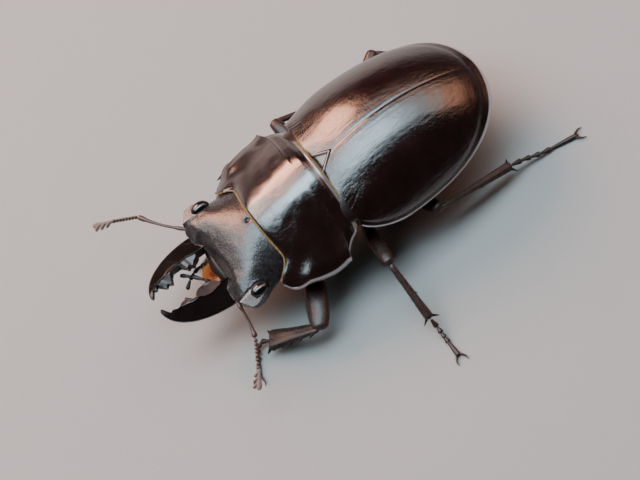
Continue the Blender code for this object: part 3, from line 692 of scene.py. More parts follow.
def material(name):
    """A material of this beetle, made when it is first asked for."""
    known = bpy.data.materials.get(name)
    if known:
        return known
    colours = bpy.context.scene.beetle_colours
    grain = bpy.context.scene.beetle_sizes.grain / MM
    # rim is the colour of the painted highlight along rims and edges.
    dark, brown, rim = colours.shell_dark, colours.shell_brown, colours.rim
    makers = {
        "waxed_wing_cuticle": lambda: shell_material(
            name, dark, brown, rim, roughness=0.15, grain_mm=grain, grain_height=0.042,
            streak_height=0.05, wave_height=0.06, coat=0.4, ior=1.65),
        "waxed_shield_cuticle": lambda: shell_material(
            name, dark, brown, rim, roughness=0.14, grain_mm=grain, grain_height=0.038,
            streak_height=0.01, wave_height=0.08, coat=0.7, ior=1.8),
        "satin_head_cuticle": lambda: shell_material(
            name, colours.head_dark, colours.head, rim, roughness=0.26, grain_mm=grain,
            grain_height=0.05, streak_height=0.004, wave_height=0.12, coat=0.1, ior=1.55,
            patch_mm=0.5),
        "smooth_belly_cuticle": lambda: shell_material(
            name, dark, colours.belly, rim, roughness=0.32, grain_mm=grain, grain_height=0.012,
            streak_height=0.0, wave_height=0.0, coat=0.2, ior=1.5),
        "polished_jaw_horn": lambda: horn_material(
            name, colours.jaw, colours.tooth, "tooth", roughness=0.12, grain_mm=0.35,
            grain_height=0.01, ior=1.43, matt=0.18),
        "dull_palp_horn": lambda: horn_material(
            name, colours.leg, colours.leg, "upper", roughness=0.4, grain_mm=0.2,
            grain_height=0.012, ior=1.4),
        # On legs and feelers the lighter colour follows the upper mark: a painted lit side.
        "rubbed_leg_horn": lambda: horn_material(
            name, colours.leg, colours.leg_lit_side_and_bristle_brown, "upper", roughness=0.3, grain_mm=0.3,
            grain_height=0.006, ior=1.37),
        "satin_feeler_horn": lambda: horn_material(
            name, colours.leg, colours.feeler, "upper", roughness=0.36, grain_mm=0.14,
            grain_height=0.01, ior=1.5),
        "polished_compound_eye": eye_material,
        "club_down": lambda: down_material(name, colours.club),
        "golden_fringe_hair": lambda: hair_material(name, colours.gold),
        "orange_brush_hair": lambda: hair_material(name, colours.brush),
        "chestnut_bristle": lambda: hair_material(name, colours.leg_lit_side_and_bristle_brown),
        "matt_pale_card": lambda: card_material(colours.floor),
    }
    return makers[name]()


# ---------------------------------------------------------------- wing covers

def wing_half_width(y):
    """Half-width of the wing covers: an ellipse in front, a fuller curve of power 2.3 behind."""
    front = np.clip((WING_WIDEST - y) / SHOULDER_REACH, 0.0, 1.0)
    behind = np.clip((y - WING_WIDEST) / (WING_LENGTH - WING_WIDEST), 0.0, 1.0)
    curve = np.where(y < WING_WIDEST, np.sqrt(1.0 - front ** 2),
                     (1.0 - behind ** 2.3) ** (1.0 / 2.3))
    return WING_HALF_WIDTH * curve


def seam_height(y):
    """Height of the wing covers' middle seam: a cubic of the share of their length."""
    part = y / WING_LENGTH
    return RIM + 5.0 + 13.4 * part - 17.4 * part ** 2 - 0.3 * part ** 3


def rim_height(y):
    """Height of the rim: a parabola's shallow sag, and an exponential rise at the shoulder."""
    part = y / WING_LENGTH
    shoulder = 1.8 * np.exp(-np.maximum(y, 0.0) / 1.5)
    return RIM - 0.28 - 3.15 * part + 3.66 * part ** 2 + shoulder


def wing_point(across, y):
    """The wing covers' outer surface: between rim and seam it rises as a dome."""
    seam, rim = seam_height(y), rim_height(y)
    return stack(across * wing_half_width(y), y, rim + (seam - rim) * dome(across, 2.42, 0.14))


def rim_pits(y):
    """Share of the bead's height that is left between the pits in its middle stretch.

    It falls and rises as a cosine, once in each pitch.
    """
    depth, pitch = 0.45, 0.42
    stretch = smooth((y - 6.0) / 2.0) * (1.0 - smooth((y - 20.0) / 3.0))
    return 1.0 - depth * stretch * (0.5 + 0.5 * np.cos(y * TURN / pitch))


def wing_lift(x, y, ridge):
    """Relief of a wing cover: bells across for the ridges beside the seam and the dip at it.

    A broad bell raises the shoulder, and short wrinkles in front of it are a slanted cosine.
    """
    rear = smooth((y - 3.2) / 1.5) * (1.0 - smooth((y - 24.5) / 3.0))
    lift = ridge * (swell(x, 0.95, 0.12) + 0.7 * swell(x, 0.5, 0.1)) * rear
    lift = lift - 0.03 * swell(x, 0.0, 0.1)
    lift = lift + 0.25 * swell(x, 8.8, 1.6) * swell(y, 3.2, 1.8)
    wrinkle_depth, wrinkle_pitch = 0.045, 0.75
    wrinkled = swell(x, 8.3, 1.5) * swell(y, 1.2, 1.1)
    wave = 0.5 + 0.5 * np.cos((x + 0.35 * y) * TURN / wrinkle_pitch)
    return lift - wrinkle_depth * wrinkled * wave


def wing_cover(side, sizes):
    """One wing cover.

    Its outer surface has a bead and a gutter along the rim, both bells of the height above it,
    and the relief of wing_lift.  Its inner surface lies one shell thickness below.
    """
    along = np.linspace(0.0, 1.0, 340)[:, None]
    across = 1.0 - (1.0 - np.linspace(0.0, 1.0, 130)[None, :]) ** 2.4
    y = WING_FRONT + (WING_APEX - WING_FRONT) * np.sin(along * math.pi / 2.0) ** 1.25
    notch = np.maximum(0.0, 1.0 - across * wing_half_width(y) / (SCUTELLUM_HALF_WIDTH + GAP))
    y = y + (SCUTELLUM_TIP + GAP) * notch * (1.0 - along) ** 8
    outer = wing_point(across, y)
    inner = outer * (0.94, 1.0, 1.0) - UP * SHELL
    x = outer[..., 0]
    above_rim = outer[..., 2] - rim_height(y)
    height, width, pits = sizes.rim_bead / MM, 0.26 + 0.2 * smooth((y - 16.0) / 9.0), rim_pits(y)
    bead = height * swell(above_rim, 0.12, width) * pits
    bead = bead - 0.5 * height * swell(above_rim, 0.3 + 2.2 * width, width)
    outwards = unit(stack(x / WING_HALF_WIDTH ** 2,
                          (y - WING_WIDEST) / (WING_LENGTH - WING_WIDEST) ** 2, 0.0))
    outer += outwards * bead[..., None]
    outer[..., 2] += wing_lift(x, y, sizes.seam_ridge / MM)
    for surface in (outer, inner):
        surface[..., 0] = np.maximum(surface[..., 0], SEAM / 2.0)
    # Painted highlight along the rim's bead, broken where the pits are.
    rim = smooth((0.15 + 1.1 * width - above_rim) / 0.2) * pits
    return plate(mirrored(outer, side), mirrored(inner, side), rim=rim)


def scutellum():
    """The small triangular plate between the wing covers, with a bell for its raised edge."""
    along = np.linspace(0.0, 1.0, 40)[:, None]
    across = np.linspace(-1.0, 1.0, 41)[None, :]
    y = between(0.55, SCUTELLUM_TIP + 0.15, along)
    x = across * ((SCUTELLUM_HALF_WIDTH + 0.16) * (1.0 - along) + 0.08)
    from_side = (1.0 - np.abs(across)) * (SCUTELLUM_HALF_WIDTH * (1.0 - along) + 0.08)
    z = seam_height(y) - 0.04 + 0.24 * swell(from_side, 0.16, 0.2)
    # Painted highlight along the plate's raised edges.
    rim = 0.5 * swell(from_side, 0.14, 0.25)
    return plate(stack(x, y, z), stack(x, y, z - 0.6), rim=rim)


class BEETLE_OT_wing_covers(bpy.types.Operator):
    """Adds the two wing covers and the small plate between them"""

    bl_idname = "beetle.wing_covers"
    bl_label = "Wing covers"

    def execute(self, context):
        sizes = context.scene.beetle_sizes
        for name, side in SIDES.items():
            add_piece("wing_cover_" + name, [wing_cover(side, sizes)],
                      material("waxed_wing_cuticle"), ["elytron_" + name])
        add_piece("scutellum_plate", [scutellum()], material("waxed_shield_cuticle"),
                  ["scutellum"])
        return {"FINISHED"}


# ---------------------------------------------------------------- underside

def back_point(across, y):
    """The body's upper side, close under the wing covers."""
    return wing_point(across, y) * (BODY_SHARE, 1.0, 1.0) - UP * (SHELL + 0.4)


def belly_point(across, y, middle):
    """The underside: it sinks from the rim to its middle line as an arch."""
    edge = rim_height(y) - SHELL - 0.75
    return stack(across * BODY_SHARE * wing_half_width(y), y,
                 edge - (edge - middle) * arch(across, 2.6, 0.7))


def breast():
    """The body's middle part: an arch with bells for the groove along it and the one across."""
    along, across = vault_grid(90, 121)
    y = 0.6 + 9.7 * along
    middle = RIM - BELLY_DEPTH + 0.5 * (1.0 - along)
    below = belly_point(across, y, middle)
    below[..., 2] += 0.35 * swell(below[..., 0], 0.0, 0.25) * smooth((y - 3.0) / 2.0)
    below[..., 2] += 0.5 * swell(y, 5.2, 0.25) * smooth((np.abs(across) - 0.15) / 0.2)
    return plate(back_point(across, y), below)


def belly():
    """The hind body: five overlapping rings, each ending in a low step."""
    along, across = vault_grid(150, 121)
    y = 10.6 + 16.3 * along
    step_height = 0.28
    ring = (along * ABDOMEN_RINGS) % 1.0
    step = step_height * smooth(ring / 0.12) - step_height
    middle = RIM - BELLY_DEPTH + 0.3 + 4.3 * along ** 3
    below = belly_point(across, y, middle)
    below[..., 2] -= step * arch(across, 6.0, 1.0)
    return plate(back_point(across, y), below)


class BEETLE_OT_underside(bpy.types.Operator):
    """Adds the body's underside below the wing covers"""

    bl_idname = "beetle.underside"
    bl_label = "Underside"

    def execute(self, context):
        add_piece("breast_plate", [breast()], material("smooth_belly_cuticle"),
                  ["thorax"])
        add_piece("belly_rings", [belly()], material("smooth_belly_cuticle"),
                  ["abdomen"])
        return {"FINISHED"}


# ---------------------------------------------------------------- shield

# The shield's half-width from its front corner to its rear edge, with a spine near its rear
SHIELD_SIDE = ((-14.2, 9.6), (-13.3, 10.8), (-12.1, 11.5), (-10.4, 12.1), (-8.6, 12.65),
               (-6.4, 13.0), (-4.4, 13.0), (-3.9, 13.15), (-3.4, 12.1), (-2.4, 11.3),
               (-1.5, 10.8), (-0.7, 10.3))
SHIELD_LENGTH = 11.5
SHIELD_CORNER = 7.3        # distance from the middle beyond which the front corners drop

# Shallow dents either side of the middle: distance from it, place along, radius and depth
SHIELD_DENTS = ((2.9, -9.3, 0.7, 0.05), (4.3, -7.6, 0.8, 0.06), (4.9, -4.2, 0.9, 0.07),
                (2.2, -6.2, 0.9, -0.03))


def shield_front(x):
    """The shield's front edge over the head: a flat parabola, with corners reaching forwards.

    The corners' reach grows as the cube of an easing from 0 to 1.
    """
    return -12.0 + 0.4 * (x / 6.0) ** 2 - 3.2 * smooth((np.abs(x) - 5.0) / 4.6) ** 3


def shield_point(across, along):
    """The shield's upper surface and the height of its side edge.

    along goes from its front edge at 0 to its rear edge at 1.  Between edge and middle it rises
    as a roof, and its front corners drop as the square of the distance beyond their start.
    """
    first, last = SHIELD_SIDE[0][0], SHIELD_SIDE[-1][0]
    x = across * curve_through(SHIELD_SIDE, first + (last - first) * along)
    front = shield_front(across * SHIELD_SIDE[0][1])
    y = front + (last * np.abs(across) ** 6 - front) * along
    middle = RIM + 3.65 + 2.75 * (1.0 - (1.0 - along) ** 1.8)
    edge = RIM - 1.1 - 0.6 * smooth(along / 0.6) + 2.1 * smooth((along - 0.6) / 0.4)
    corner = np.maximum(np.abs(x) - SHIELD_CORNER, 0.0) ** 2 * (1.0 - smooth(along / 0.3))
    z = edge + (middle - edge) * roof(across, 0.26, 0.13) - 0.13 * corner
    return stack(x, y, z), edge + 0.0 * across


def shield(sizes):
    """The shield and the body below it, with bells for the thin bead along its edges.

    Bells also make its shallow dents, and a low cosine wave runs beside its rear edge.
    """
    along, across = vault_grid(200, 221)
    upper, edge = shield_point(across, along)
    under = edge - 0.5
    floor = RIM - 4.8
    lower = upper * (0.985, 1.0, 1.0)
    lower[..., 2] = under - (under - floor) * arch(across, 2.4, 1.1)
    bead = sizes.shield_bead / MM
    half = curve_through(SHIELD_SIDE, SHIELD_SIDE[0][0] + 13.5 * along)
    from_side = half * (1.0 - np.abs(across))
    from_front = along * SHIELD_LENGTH
    from_rear = (1.0 - along) * SHIELD_LENGTH
    lift = bead * swell(from_side, 0.0, 0.25) - 0.15 * bead * swell(from_side, 0.7, 0.35)
    lift = lift - 0.10 * swell(from_front, 0.0, 0.12)
    for x, y, reach, depth in SHIELD_DENTS:
        dent = depth * swell(np.abs(upper[..., 0]), x, reach)
        lift = lift - dent * swell(upper[..., 1], y, reach)
    lift = lift - 0.45 * smooth(1.0 - from_rear / 1.4) + 0.1 * swell(from_rear, 0.16, 0.1)
    lift = lift + 0.02 * np.cos(from_rear * TURN / 0.42) * smooth(1.0 - from_rear / 1.6)
    upper[..., 2] += lift
    # Painted highlight along the side edge and along the bead beside the rear edge.
    rim = smooth(1.0 - from_side / 0.3) + 0.5 * swell(from_rear, 0.16, 0.2)
    return plate(upper, lower, rim=np.clip(rim, 0.0, 1.0))


def waist():
    """The dark soft skin below the gap between shield and body: an arch above and below."""
    along, across = vault_grid(12, 61)
    y = -1.6 + 3.0 * along
    top = RIM + 1.2 + 3.1 * arch(across, 2.4, 0.6)
    low = RIM - 0.5 - 3.0 * arch(across, 2.4, 1.0)
    return plate(stack(across * 9.4, y, top), stack(across * 9.4, y, low))


def neck():
    """The dark soft skin that joins the head to the shield: the head's own arch, a little lower."""
    along, across = vault_grid(12, 61)
    y = shield_front(across * HEAD_REAR_HALF_WIDTH) - 1.0 + 1.8 * along
    top = head_surface(across, np.zeros_like(along))[0][..., 2] - 0.35
    low = RIM - 1.2 - 2.8 * arch(across, 3.0, 0.8)
    return plate(stack(across * 8.0, y, top), stack(across * 8.0, y, low))


class BEETLE_OT_shield(bpy.types.Operator):
    """Adds the shield behind the head and the soft skin before and behind it"""

    bl_idname = "beetle.shield"
    bl_label = "Shield"

    def execute(self, context):
        sizes = context.scene.beetle_sizes
        add_piece("shield_plate", [shield(sizes)], material("waxed_shield_cuticle"),
                  ["prothorax"])
        add_piece("joint_skin", [waist(), neck()], material("smooth_belly_cuticle"))
        return {"FINISHED"}


# ---------------------------------------------------------------- head

# Half-width of the head from behind to its front edge, and y of its front edge across
HEAD_SIDE = ((0.0, 8.4), (0.17, 8.6), (0.33, 8.95), (0.42, 9.25), (0.55, 9.7), (0.68, 10.0),
             (0.8, 9.9), (0.87, 9.25), (0.94, 8.6), (1.0, 7.9))
HEAD_FRONT_EDGE = ((0.0, -20.3), (0.3, -20.35), (0.48, -20.75), (0.6, -21.3),
                   (0.84, -21.45), (1.0, -21.0))


def head_surface(across, along):
    """The head's upper and lower surface, from behind at along = 0 to its front edge at 1.

    Both are arches between the side edge and the middle line.
    """
    x = across * curve_through(HEAD_SIDE, along)
    rear = shield_front(across * HEAD_REAR_HALF_WIDTH) - GAP
    front = curve_through(HEAD_FRONT_EDGE, np.abs(across))
    y = between(rear, front, along)
    middle = RIM + 3.15 - 3.25 * along ** 2
    edge = RIM - 0.5 - 0.5 * swell(along, 0.4, 0.25) - 0.5 * smooth((along - 0.85) / 0.15)
    top = edge + (middle - edge) * arch(across, 2.0 + 1.0 * smooth(along / 0.6), 0.95)
    under = edge - 0.9 + 0.2 * peak(along, 0.8, 0.3)
    low = under - (under - (RIM - HEAD_DEPTH + 0.7 * along)) * arch(across, 4.0, 1.0)
    return stack(x, y, top), stack(x, y, low)


def head_plate():
    """The head: flat side plates with a crease inside each, and bells for its other relief.

    These are a ridge round each eye, a hollow brow and a dimple behind it, and its front droops
    between the jaws.
    """
    along, across = vault_grid(190, 241)
    upper, lower = head_surface(across, along)
    x, y = np.abs(upper[..., 0]), upper[..., 1]
    reach = np.hypot((x - EYE_CENTRE[0]) / EYE_RADII[0], (y - EYE_CENTRE[1]) / EYE_RADII[1])
    crease = swell(x, 7.75 - 0.1 * (y + 19.0), 0.2)
    crease = crease * smooth((-17.9 - y) / 0.8) * (1.0 - smooth((-20.3 - y) / 1.0))
    side_plate = smooth((x - 7.7) / 0.4) * smooth((-18.1 - y) / 0.7)
    side_plate = np.maximum(side_plate, smooth((x - 9.2) / 0.3) * smooth((-16.6 - y) / 0.8))
    plate_height = RIM + 0.7 + 0.18 * (y + 18.0) - 0.34 * (x - 7.9)
    upper[..., 2] += side_plate * (plate_height - upper[..., 2])
    lift = 0.03 * swell(reach, 1.05, 0.1) - 0.1 * crease
    lift = lift - 0.1 * swell(upper[..., 0], 0.0, 3.2) * swell(y, -18.2, 1.8)
    lift = lift - 0.35 * swell(upper[..., 0], -0.6, 0.35) * swell(y, -12.75, 0.4)
    lift = lift - 0.8 * (1.0 - smooth((x - 5.0) / 2.8)) * smooth((along - 0.8) / 0.2)
    upper[..., 2] += lift
    # The side plates carry a quarter of the rim mark: a painted highlight that makes them paler.
    return plate(upper, lower, rim=0.25 * side_plate)


class BEETLE_OT_head(bpy.types.Operator):
    """Adds the head with its side plates, and the two compound eyes"""

    bl_idname = "beetle.head"
    bl_label = "Head and eyes"

    def execute(self, context):
        add_piece("head_plate", [head_plate()], material("satin_head_cuticle"),
                  ["head"])
        for name, side in SIDES.items():
            add_piece("compound_eye_" + name,
                      [ball(mirrored(EYE_CENTRE, side), EYE_RADII, 30, 44)],
                      material("polished_compound_eye"), ["eye_" + name])
        return {"FINISHED"}


# ---------------------------------------------------------------- jaws and mouth

# Teeth of the inner edge: place along the jaw, height towards the middle, half-width along and
# how round they are, from 0 for a pointed tooth to 1 for a lobe
JAW_TEETH = {
    "left": ((0.19, 1.9, 0.21, 1.0), (0.57, 1.45, 0.10, 0.0), (0.66, 0.7, 0.05, 0.0),
             (0.82, 0.35, 0.05, 0.0)),
    "right": ((0.19, 0.95, 0.16, 0.7), (0.17, 0.3, 0.04, 0.0), (0.27, 0.4, 0.04, 0.0),
              (0.66, 1.2, 0.14, 0.3), (0.61, 0.65, 0.05, 0.0), (0.72, 0.7, 0.05, 0.0),
              (0.86, 0.75, 0.05, 0.0)),
}
# Height of the ridge on the crest, and how steeply the tooth plates inside it sink
JAW_CREST = {"left": (0.14, 0.55), "right": (0.02, 0.2)}


def rounded(distance, radius):
    """A quarter round: from 0 at an edge to 1 at a radius from it, as a circle rises."""
    return np.sqrt(1.0 - np.maximum(1.0 - distance / radius, 0.0) ** 2)


def jaw_plan(name, along):
    """The x and y of a left jaw's outer and inner edge, and how far its crest lies from outside.

    The outer edge is a quarter of an ellipse, and each tooth of the inner edge lies between a
    peak and a round lobe.  A bell bends the crest outwards at each tooth.
    """
    ahead, behind = np.maximum(along, 0.0), np.minimum(along, 0.0)
    turn = ahead * math.radians(88.0)
    outer_x = JAW_TIP_X + (JAW_OUTER_X - JAW_TIP_X) * np.cos(turn) ** 0.95 + 2.0 * behind
    outer_y = JAW_BASE - JAW_REACH * (np.sin(turn) + behind)
    inner_x = 3.1 - 0.4 * ahead - 1.6 * smooth((along - 0.86) / 0.14)
    inner_y = JAW_BASE - (JAW_REACH - 0.3) * (ahead ** 1.02 + behind)
    crest = 0.97 * np.hypot(inner_x - outer_x, inner_y - outer_y)
    for centre, height, half_width, round_share in JAW_TEETH[name]:
        lobe = arch((along - centre) / half_width, 2.0, 0.5)
        tooth = peak(along, centre, half_width)
        inner_x = inner_x - height * (tooth + round_share * (lobe - tooth))
        crest = crest - 0.4 * height * swell(along, centre, 0.8 * half_width)
    return outer_x, outer_y, inner_x, inner_y, crest


def jaw(name):
    """One mandible: its plan lies between an outer arc and a toothed inner edge.

    From outside the surface rises as a plain slope to a crest, which curves outwards round each
    tooth, and inside the crest the teeth are flat plates that sink a little towards the middle.
    The base goes on straight under the head, and the underside is half an ellipse.
    """
    along = np.linspace(-0.17, 1.0, 460)[:, None]
    across = ((1.0 - np.cos(np.linspace(0.0, math.pi, 90))) / 2.0)[None, :]
    outer_x, outer_y, inner_x, inner_y, crest = jaw_plan(name, along)
    ahead = np.maximum(along, 0.0)
    middle = RIM - 2.2 + 1.45 * ahead
    half_depth = 1.35 - 0.85 * ahead
    width = np.hypot(inner_x - outer_x, inner_y - outer_y)
    crest = np.minimum(crest, 0.94 * width)
    from_outside = across * width
    beyond = np.maximum(from_outside - crest, 0.0)
    steepness = 0.42 + 0.08 * smooth(ahead / 0.5)
    ridge, sink = JAW_CREST[name]
    height = 0.22 * rounded(from_outside, 0.22) + steepness * np.minimum(from_outside, crest)
    height = height + ridge * swell(from_outside, crest, 0.1)
    height = height - 0.12 * smooth(beyond / 0.15) - sink * beyond
    lip = rounded(width - from_outside, 0.15)
    top = middle + np.clip(height, 0.12, 1.5 * half_depth + 0.1) * lip
    low = middle - half_depth * np.sqrt(np.maximum(1.0 - (2.0 * across - 1.0) ** 2, 0.0))
    x = between(outer_x, inner_x, across) * SIDES[name]
    y = between(outer_y, inner_y, across)
    return plate(stack(x, y, top), stack(x, y, low), tooth=smooth((from_outside - crest) / 0.12))


# The joints of each palp and its greatest width; the labial palps mirror each other
LABIAL_PALP = ((0.9, -20.9, CHIN_HEIGHT + 0.3), (1.3, -21.9, CHIN_HEIGHT),
               (1.4, -22.9, CHIN_HEIGHT - 0.2))
PALPS = {
    "maxillary_palp_right": (((-2.4, -21.0, RIM - 4.1), (-2.6, -22.5, RIM - 3.9),
                              (-2.3, -23.9, RIM - 3.8), (-1.7, -25.0, RIM - 3.8),
                              (-0.7, -26.2, RIM - 3.9)), 0.6),
    "maxillary_palp_left": (((2.2, -21.0, RIM - 4.4), (1.8, -22.2, RIM - 3.5),
                             (0.3, -23.2, RIM - 2.65), (-1.4, -24.4, RIM - 2.7),
                             (-2.8, -25.8, RIM - 2.8)), 0.62),
    "labial_palp_left": (LABIAL_PALP, 0.48),
    "labial_palp_right": (mirrored(LABIAL_PALP, SIDES["right"]), 0.48),
}
BRUSH_HAIRS = 1800


def palp(joints, width):
    """A palp: slender joints that swell towards their ends, with narrow waists between."""
    joints = np.asarray(joints, float)
    bodies = []
    for start, end in zip(joints, joints[1:]):
        stations = [(between(start, end, part), width * swelling, width * swelling)
                    for part, swelling in ((0.02, 0.6), (0.4, 0.85), (0.8, 1.1), (1.02, 0.7))]
        bodies.append(limb(stations, sides=14, per_mm=9.0))
    return bodies


def upper_lip():
    """The upper lip: a flat tongue that slopes down between the jaws."""
    stations = [((-0.2, -20.35, RIM - 2.0), 2.4, 0.6), ((-0.2, -20.8, RIM - 2.25), 2.7, 0.6),
                ((-0.2, -21.2, RIM - 2.5), 2.2, 0.55), ((-0.2, -21.45, RIM - 2.65), 1.3, 0.4)]
    return limb(stations, sides=32, per_mm=30.0)


def chin():
    """The chin: a broad flat plate under the head."""
    stations = [((0.0, -14.9, CHIN_HEIGHT - 0.05), 5.0, 0.7),
                ((0.0, -17.5, CHIN_HEIGHT + 0.1), 7.0, 0.8),
                ((0.0, -20.5, CHIN_HEIGHT + 0.3), 5.4, 0.7)]
    return limb(stations, sides=36, per_mm=8.0, power=3.0)


def mouth_brush(length, random):
    """The brush between the jaws: hairs that spread upwards from a small round patch."""
    turn = random.random(BRUSH_HAIRS) * TURN
    place = random.random(BRUSH_HAIRS)
    out = stack(np.cos(turn), np.sin(turn), 0.0 * turn)
    roots = np.array((-0.2, -21.9, RIM - 3.6)) + out * stack(1.05, 0.85, 0.0) * place[:, None]
    ways = out * stack(1.2, 1.2, 0.0) * place[:, None] + (0.0, -0.25, 0.75)
    lengths = length * (0.45 + 0.3 * random.random(BRUSH_HAIRS))
    return blades(roots, ways, lengths, 0.06, unwrapped(turn / TURN, place), random)


class BEETLE_OT_jaws(bpy.types.Operator):
    """Adds the toothed jaws"""

    bl_idname = "beetle.jaws"
    bl_label = "Jaws"

    def execute(self, context):
        for name in SIDES:
            add_piece("jaw_" + name, [jaw(name)], material("polished_jaw_horn"),
                      ["mandible_" + name], sharp=70.0)
        return {"FINISHED"}


class BEETLE_OT_mouth(bpy.types.Operator):
    """Adds the lips, the palps and the brush between the jaws"""

    bl_idname = "beetle.mouth"
    bl_label = "Mouth"

    def execute(self, context):
        sizes = context.scene.beetle_sizes
        horn = material("dull_palp_horn")
        add_piece("upper_lip", [upper_lip()], horn, ["labrum"])
        face = ball((0.0, -19.9, RIM - 3.0), (4.2, 1.5, 1.5), 30, 60)
        add_piece("mouth_floor", [face], horn)
        add_piece("chin_plate", [chin()], material("smooth_belly_cuticle"),
                  ["mentum"])
        for name, (joints, width) in PALPS.items():
            add_piece(name + "_joints", palp(joints, width), horn, [name])
        hairs = mouth_brush(sizes.brush_length / MM, np.random.default_rng(sizes.seed))
        add_hair("golden_brush", [hairs], material("orange_brush_hair"),
                 ["mouth_brush"])
        return {"FINISHED"}


# ---------------------------------------------------------------- feelers

# Where each feeler's stalk starts, its middle, where it bends and carries its comb, and its end
FEELERS = {
    "left": ((8.15, -21.25, RIM - 1.0), (10.55, -21.5, RIM - 2.0), (12.8, -22.15, RIM - 3.0),
             (17.0, -24.45, RIM - 3.6), (19.6, -26.3, RIM - 4.0)),
    "right": ((-8.15, -21.45, RIM - 1.0), (-11.05, -23.8, RIM - 1.0), (-14.2, -25.7, RIM - 1.0),
              (-16.2, -29.2, RIM - 1.0), (-17.6, -32.2, RIM - 1.0)),
}
BEADS = 8


def feeler_stalk(base, middle, elbow):
    """A feeler's stalk: bowed as half a sine so that it passes its middle, and clubbed."""
    bow = middle - (base + elbow) / 2.0
    stations = [(base + (elbow - base) * part + bow * math.sin(part * math.pi), width, width)
                for part, width in ((-0.12, 0.4), (0.03, 0.65), (0.2, 0.42), (0.45, 0.42),
                                    (0.75, 0.56), (0.93, 0.86), (1.01, 0.7))]
    return limb(stations, sides=24, per_mm=9.0)


def feeler_beads(elbow, comb):
    """The beads between a feeler's elbow and its comb, each wider in front than behind."""
    start = elbow + unit(comb - elbow) * 0.12
    beads = []
    for bead in range(BEADS):
        shape = ((0.0, 0.4), (0.45, 0.56), (0.85, 0.66 + 0.02 * bead), (1.02, 0.52))
        stations = [(start + (comb - start) * (bead + part) / BEADS, width, width)
                    for part, width in shape]
        beads.append(limb(stations, sides=18, per_mm=14.0))
    return beads


def feeler_comb(comb, tip, side):
    """A feeler's comb: a club-shaped stem with three leaves on its outer side."""
    stem = [(between(comb, tip, part), width, depth) for part, width, depth in
            ((-0.02, 0.5, 0.5), (0.45, 0.6, 0.6), (0.78, 0.95, 0.7), (1.0, 0.6, 0.5))]
    bodies = [limb(stem, sides=20, per_mm=12.0)]
    heading = unit(tip - comb)
    outwards = unit(np.cross(heading, UP)) * side
    for part, length in ((0.14, 0.75), (0.4, 0.9), (0.66, 0.95)):
        root = between(comb, tip, part)
        end = root + outwards * length + heading * 0.75
        leaf = [(root, 0.35, 0.6), (between(root, end, 0.6), 0.5, 0.8), (end, 0.4, 0.5)]
        bodies.append(limb(leaf, sides=18, per_mm=16.0))
    return bodies


class BEETLE_OT_feelers(bpy.types.Operator):
    """Adds the elbowed feelers with their beads and combs"""

    bl_idname = "beetle.feelers"
    bl_label = "Feelers"

    def execute(self, context):
        horn, down = material("satin_feeler_horn"), material("club_down")
        for name, side in SIDES.items():
            base, middle, elbow, comb, tip = np.array(FEELERS[name])
            add_piece("feeler_stalk_" + name, [feeler_stalk(base, middle, elbow)], horn,
                      [f"antenna_{name}_scape"])
            add_piece("feeler_beads_" + name, feeler_beads(elbow, comb), horn,
                      [f"antenna_{name}_funicle"])
            add_piece("feeler_comb_" + name, feeler_comb(comb, tip, side), down,
                      [f"antenna_{name}_club"])
        return {"FINISHED"}


# ---------------------------------------------------------------- legs

# Centre and radii of the knob that carries each pair of legs
HIP_KNOBS = {
    "fore": ((3.2, -7.4, RIM - 5.0), (2.4, 1.7, 1.7)),
    "middle": ((3.5, 1.9, RIM - 5.3), (1.9, 1.6, 1.6)),
    "hind": ((4.0, 8.3, RIM - 5.2), (3.1, 1.4, 1.5)),
}

# Hip, knee and ankle of each leg, then the joints of its foot from the ankle to the claws
LEGS = {
    "fore_left": ((5.9, -8.4, 5.0), (16.2, -13.5, 5.0), (11.7, -20.8, 2.0),
                  ((10.5, -21.9, 1.1), (10.9, -22.8, 0.8), (11.6, -23.4, 0.6),
                   (12.4, -24.0, 0.42), (15.0, -25.5, 0.24))),
    "fore_right": ((-5.9, -8.4, 5.0), (-15.0, -10.2, 4.9), (-8.6, -17.0, 1.9),
                   ((-8.1, -18.2, 1.1), (-7.7, -19.1, 0.8), (-7.3, -19.9, 0.6),
                    (-6.9, -20.7, 0.42), (-5.9, -22.8, 0.24))),
    "middle_left": ((5.8, 1.2, 5.1), (15.3, 0.35, 6.9), (24.6, 0.3, 2.4),
                    ((25.9, 0.4, 1.4), (26.9, 0.4, 1.0), (27.7, 0.4, 0.7),
                     (28.5, 0.4, 0.42), (31.3, 0.4, 0.24))),
    "middle_right": ((-5.8, 1.2, 5.1), (-15.5, -0.35, 6.7), (-14.9, 8.9, 2.0),
                     ((-14.9, 10.2, 1.3), (-14.9, 11.2, 0.9), (-14.9, 12.1, 0.6),
                      (-14.9, 13.0, 0.42), (-15.1, 15.9, 0.24))),
    "hind_left": ((7.4, 9.3, 5.0), (13.6, 11.3, 8.0), (12.6, 24.1, 2.9),
                  ((12.6, 25.9, 2.1), (12.8, 27.4, 1.5), (13.1, 28.9, 1.0),
                   (13.2, 30.7, 0.42), (14.0, 35.4, 0.24))),
    "hind_right": ((-7.4, 9.3, 5.0), (-14.9, 18.2, 7.0), (-8.9, 26.4, 2.2),
                   ((-7.5, 26.9, 1.5), (-6.3, 27.0, 1.0), (-5.2, 27.0, 0.7),
                    (-4.1, 26.9, 0.42), (-1.1, 26.4, 0.24))),
}

# Greatest width and depth of each pair's thigh, then its shin's width at knee and ankle
LEG_SIZES = {"fore": (3.6, 2.4, 2.0, 3.2), "middle": (2.5, 2.1, 1.1, 1.35),
             "hind": (2.5, 2.1, 1.05, 1.4)}
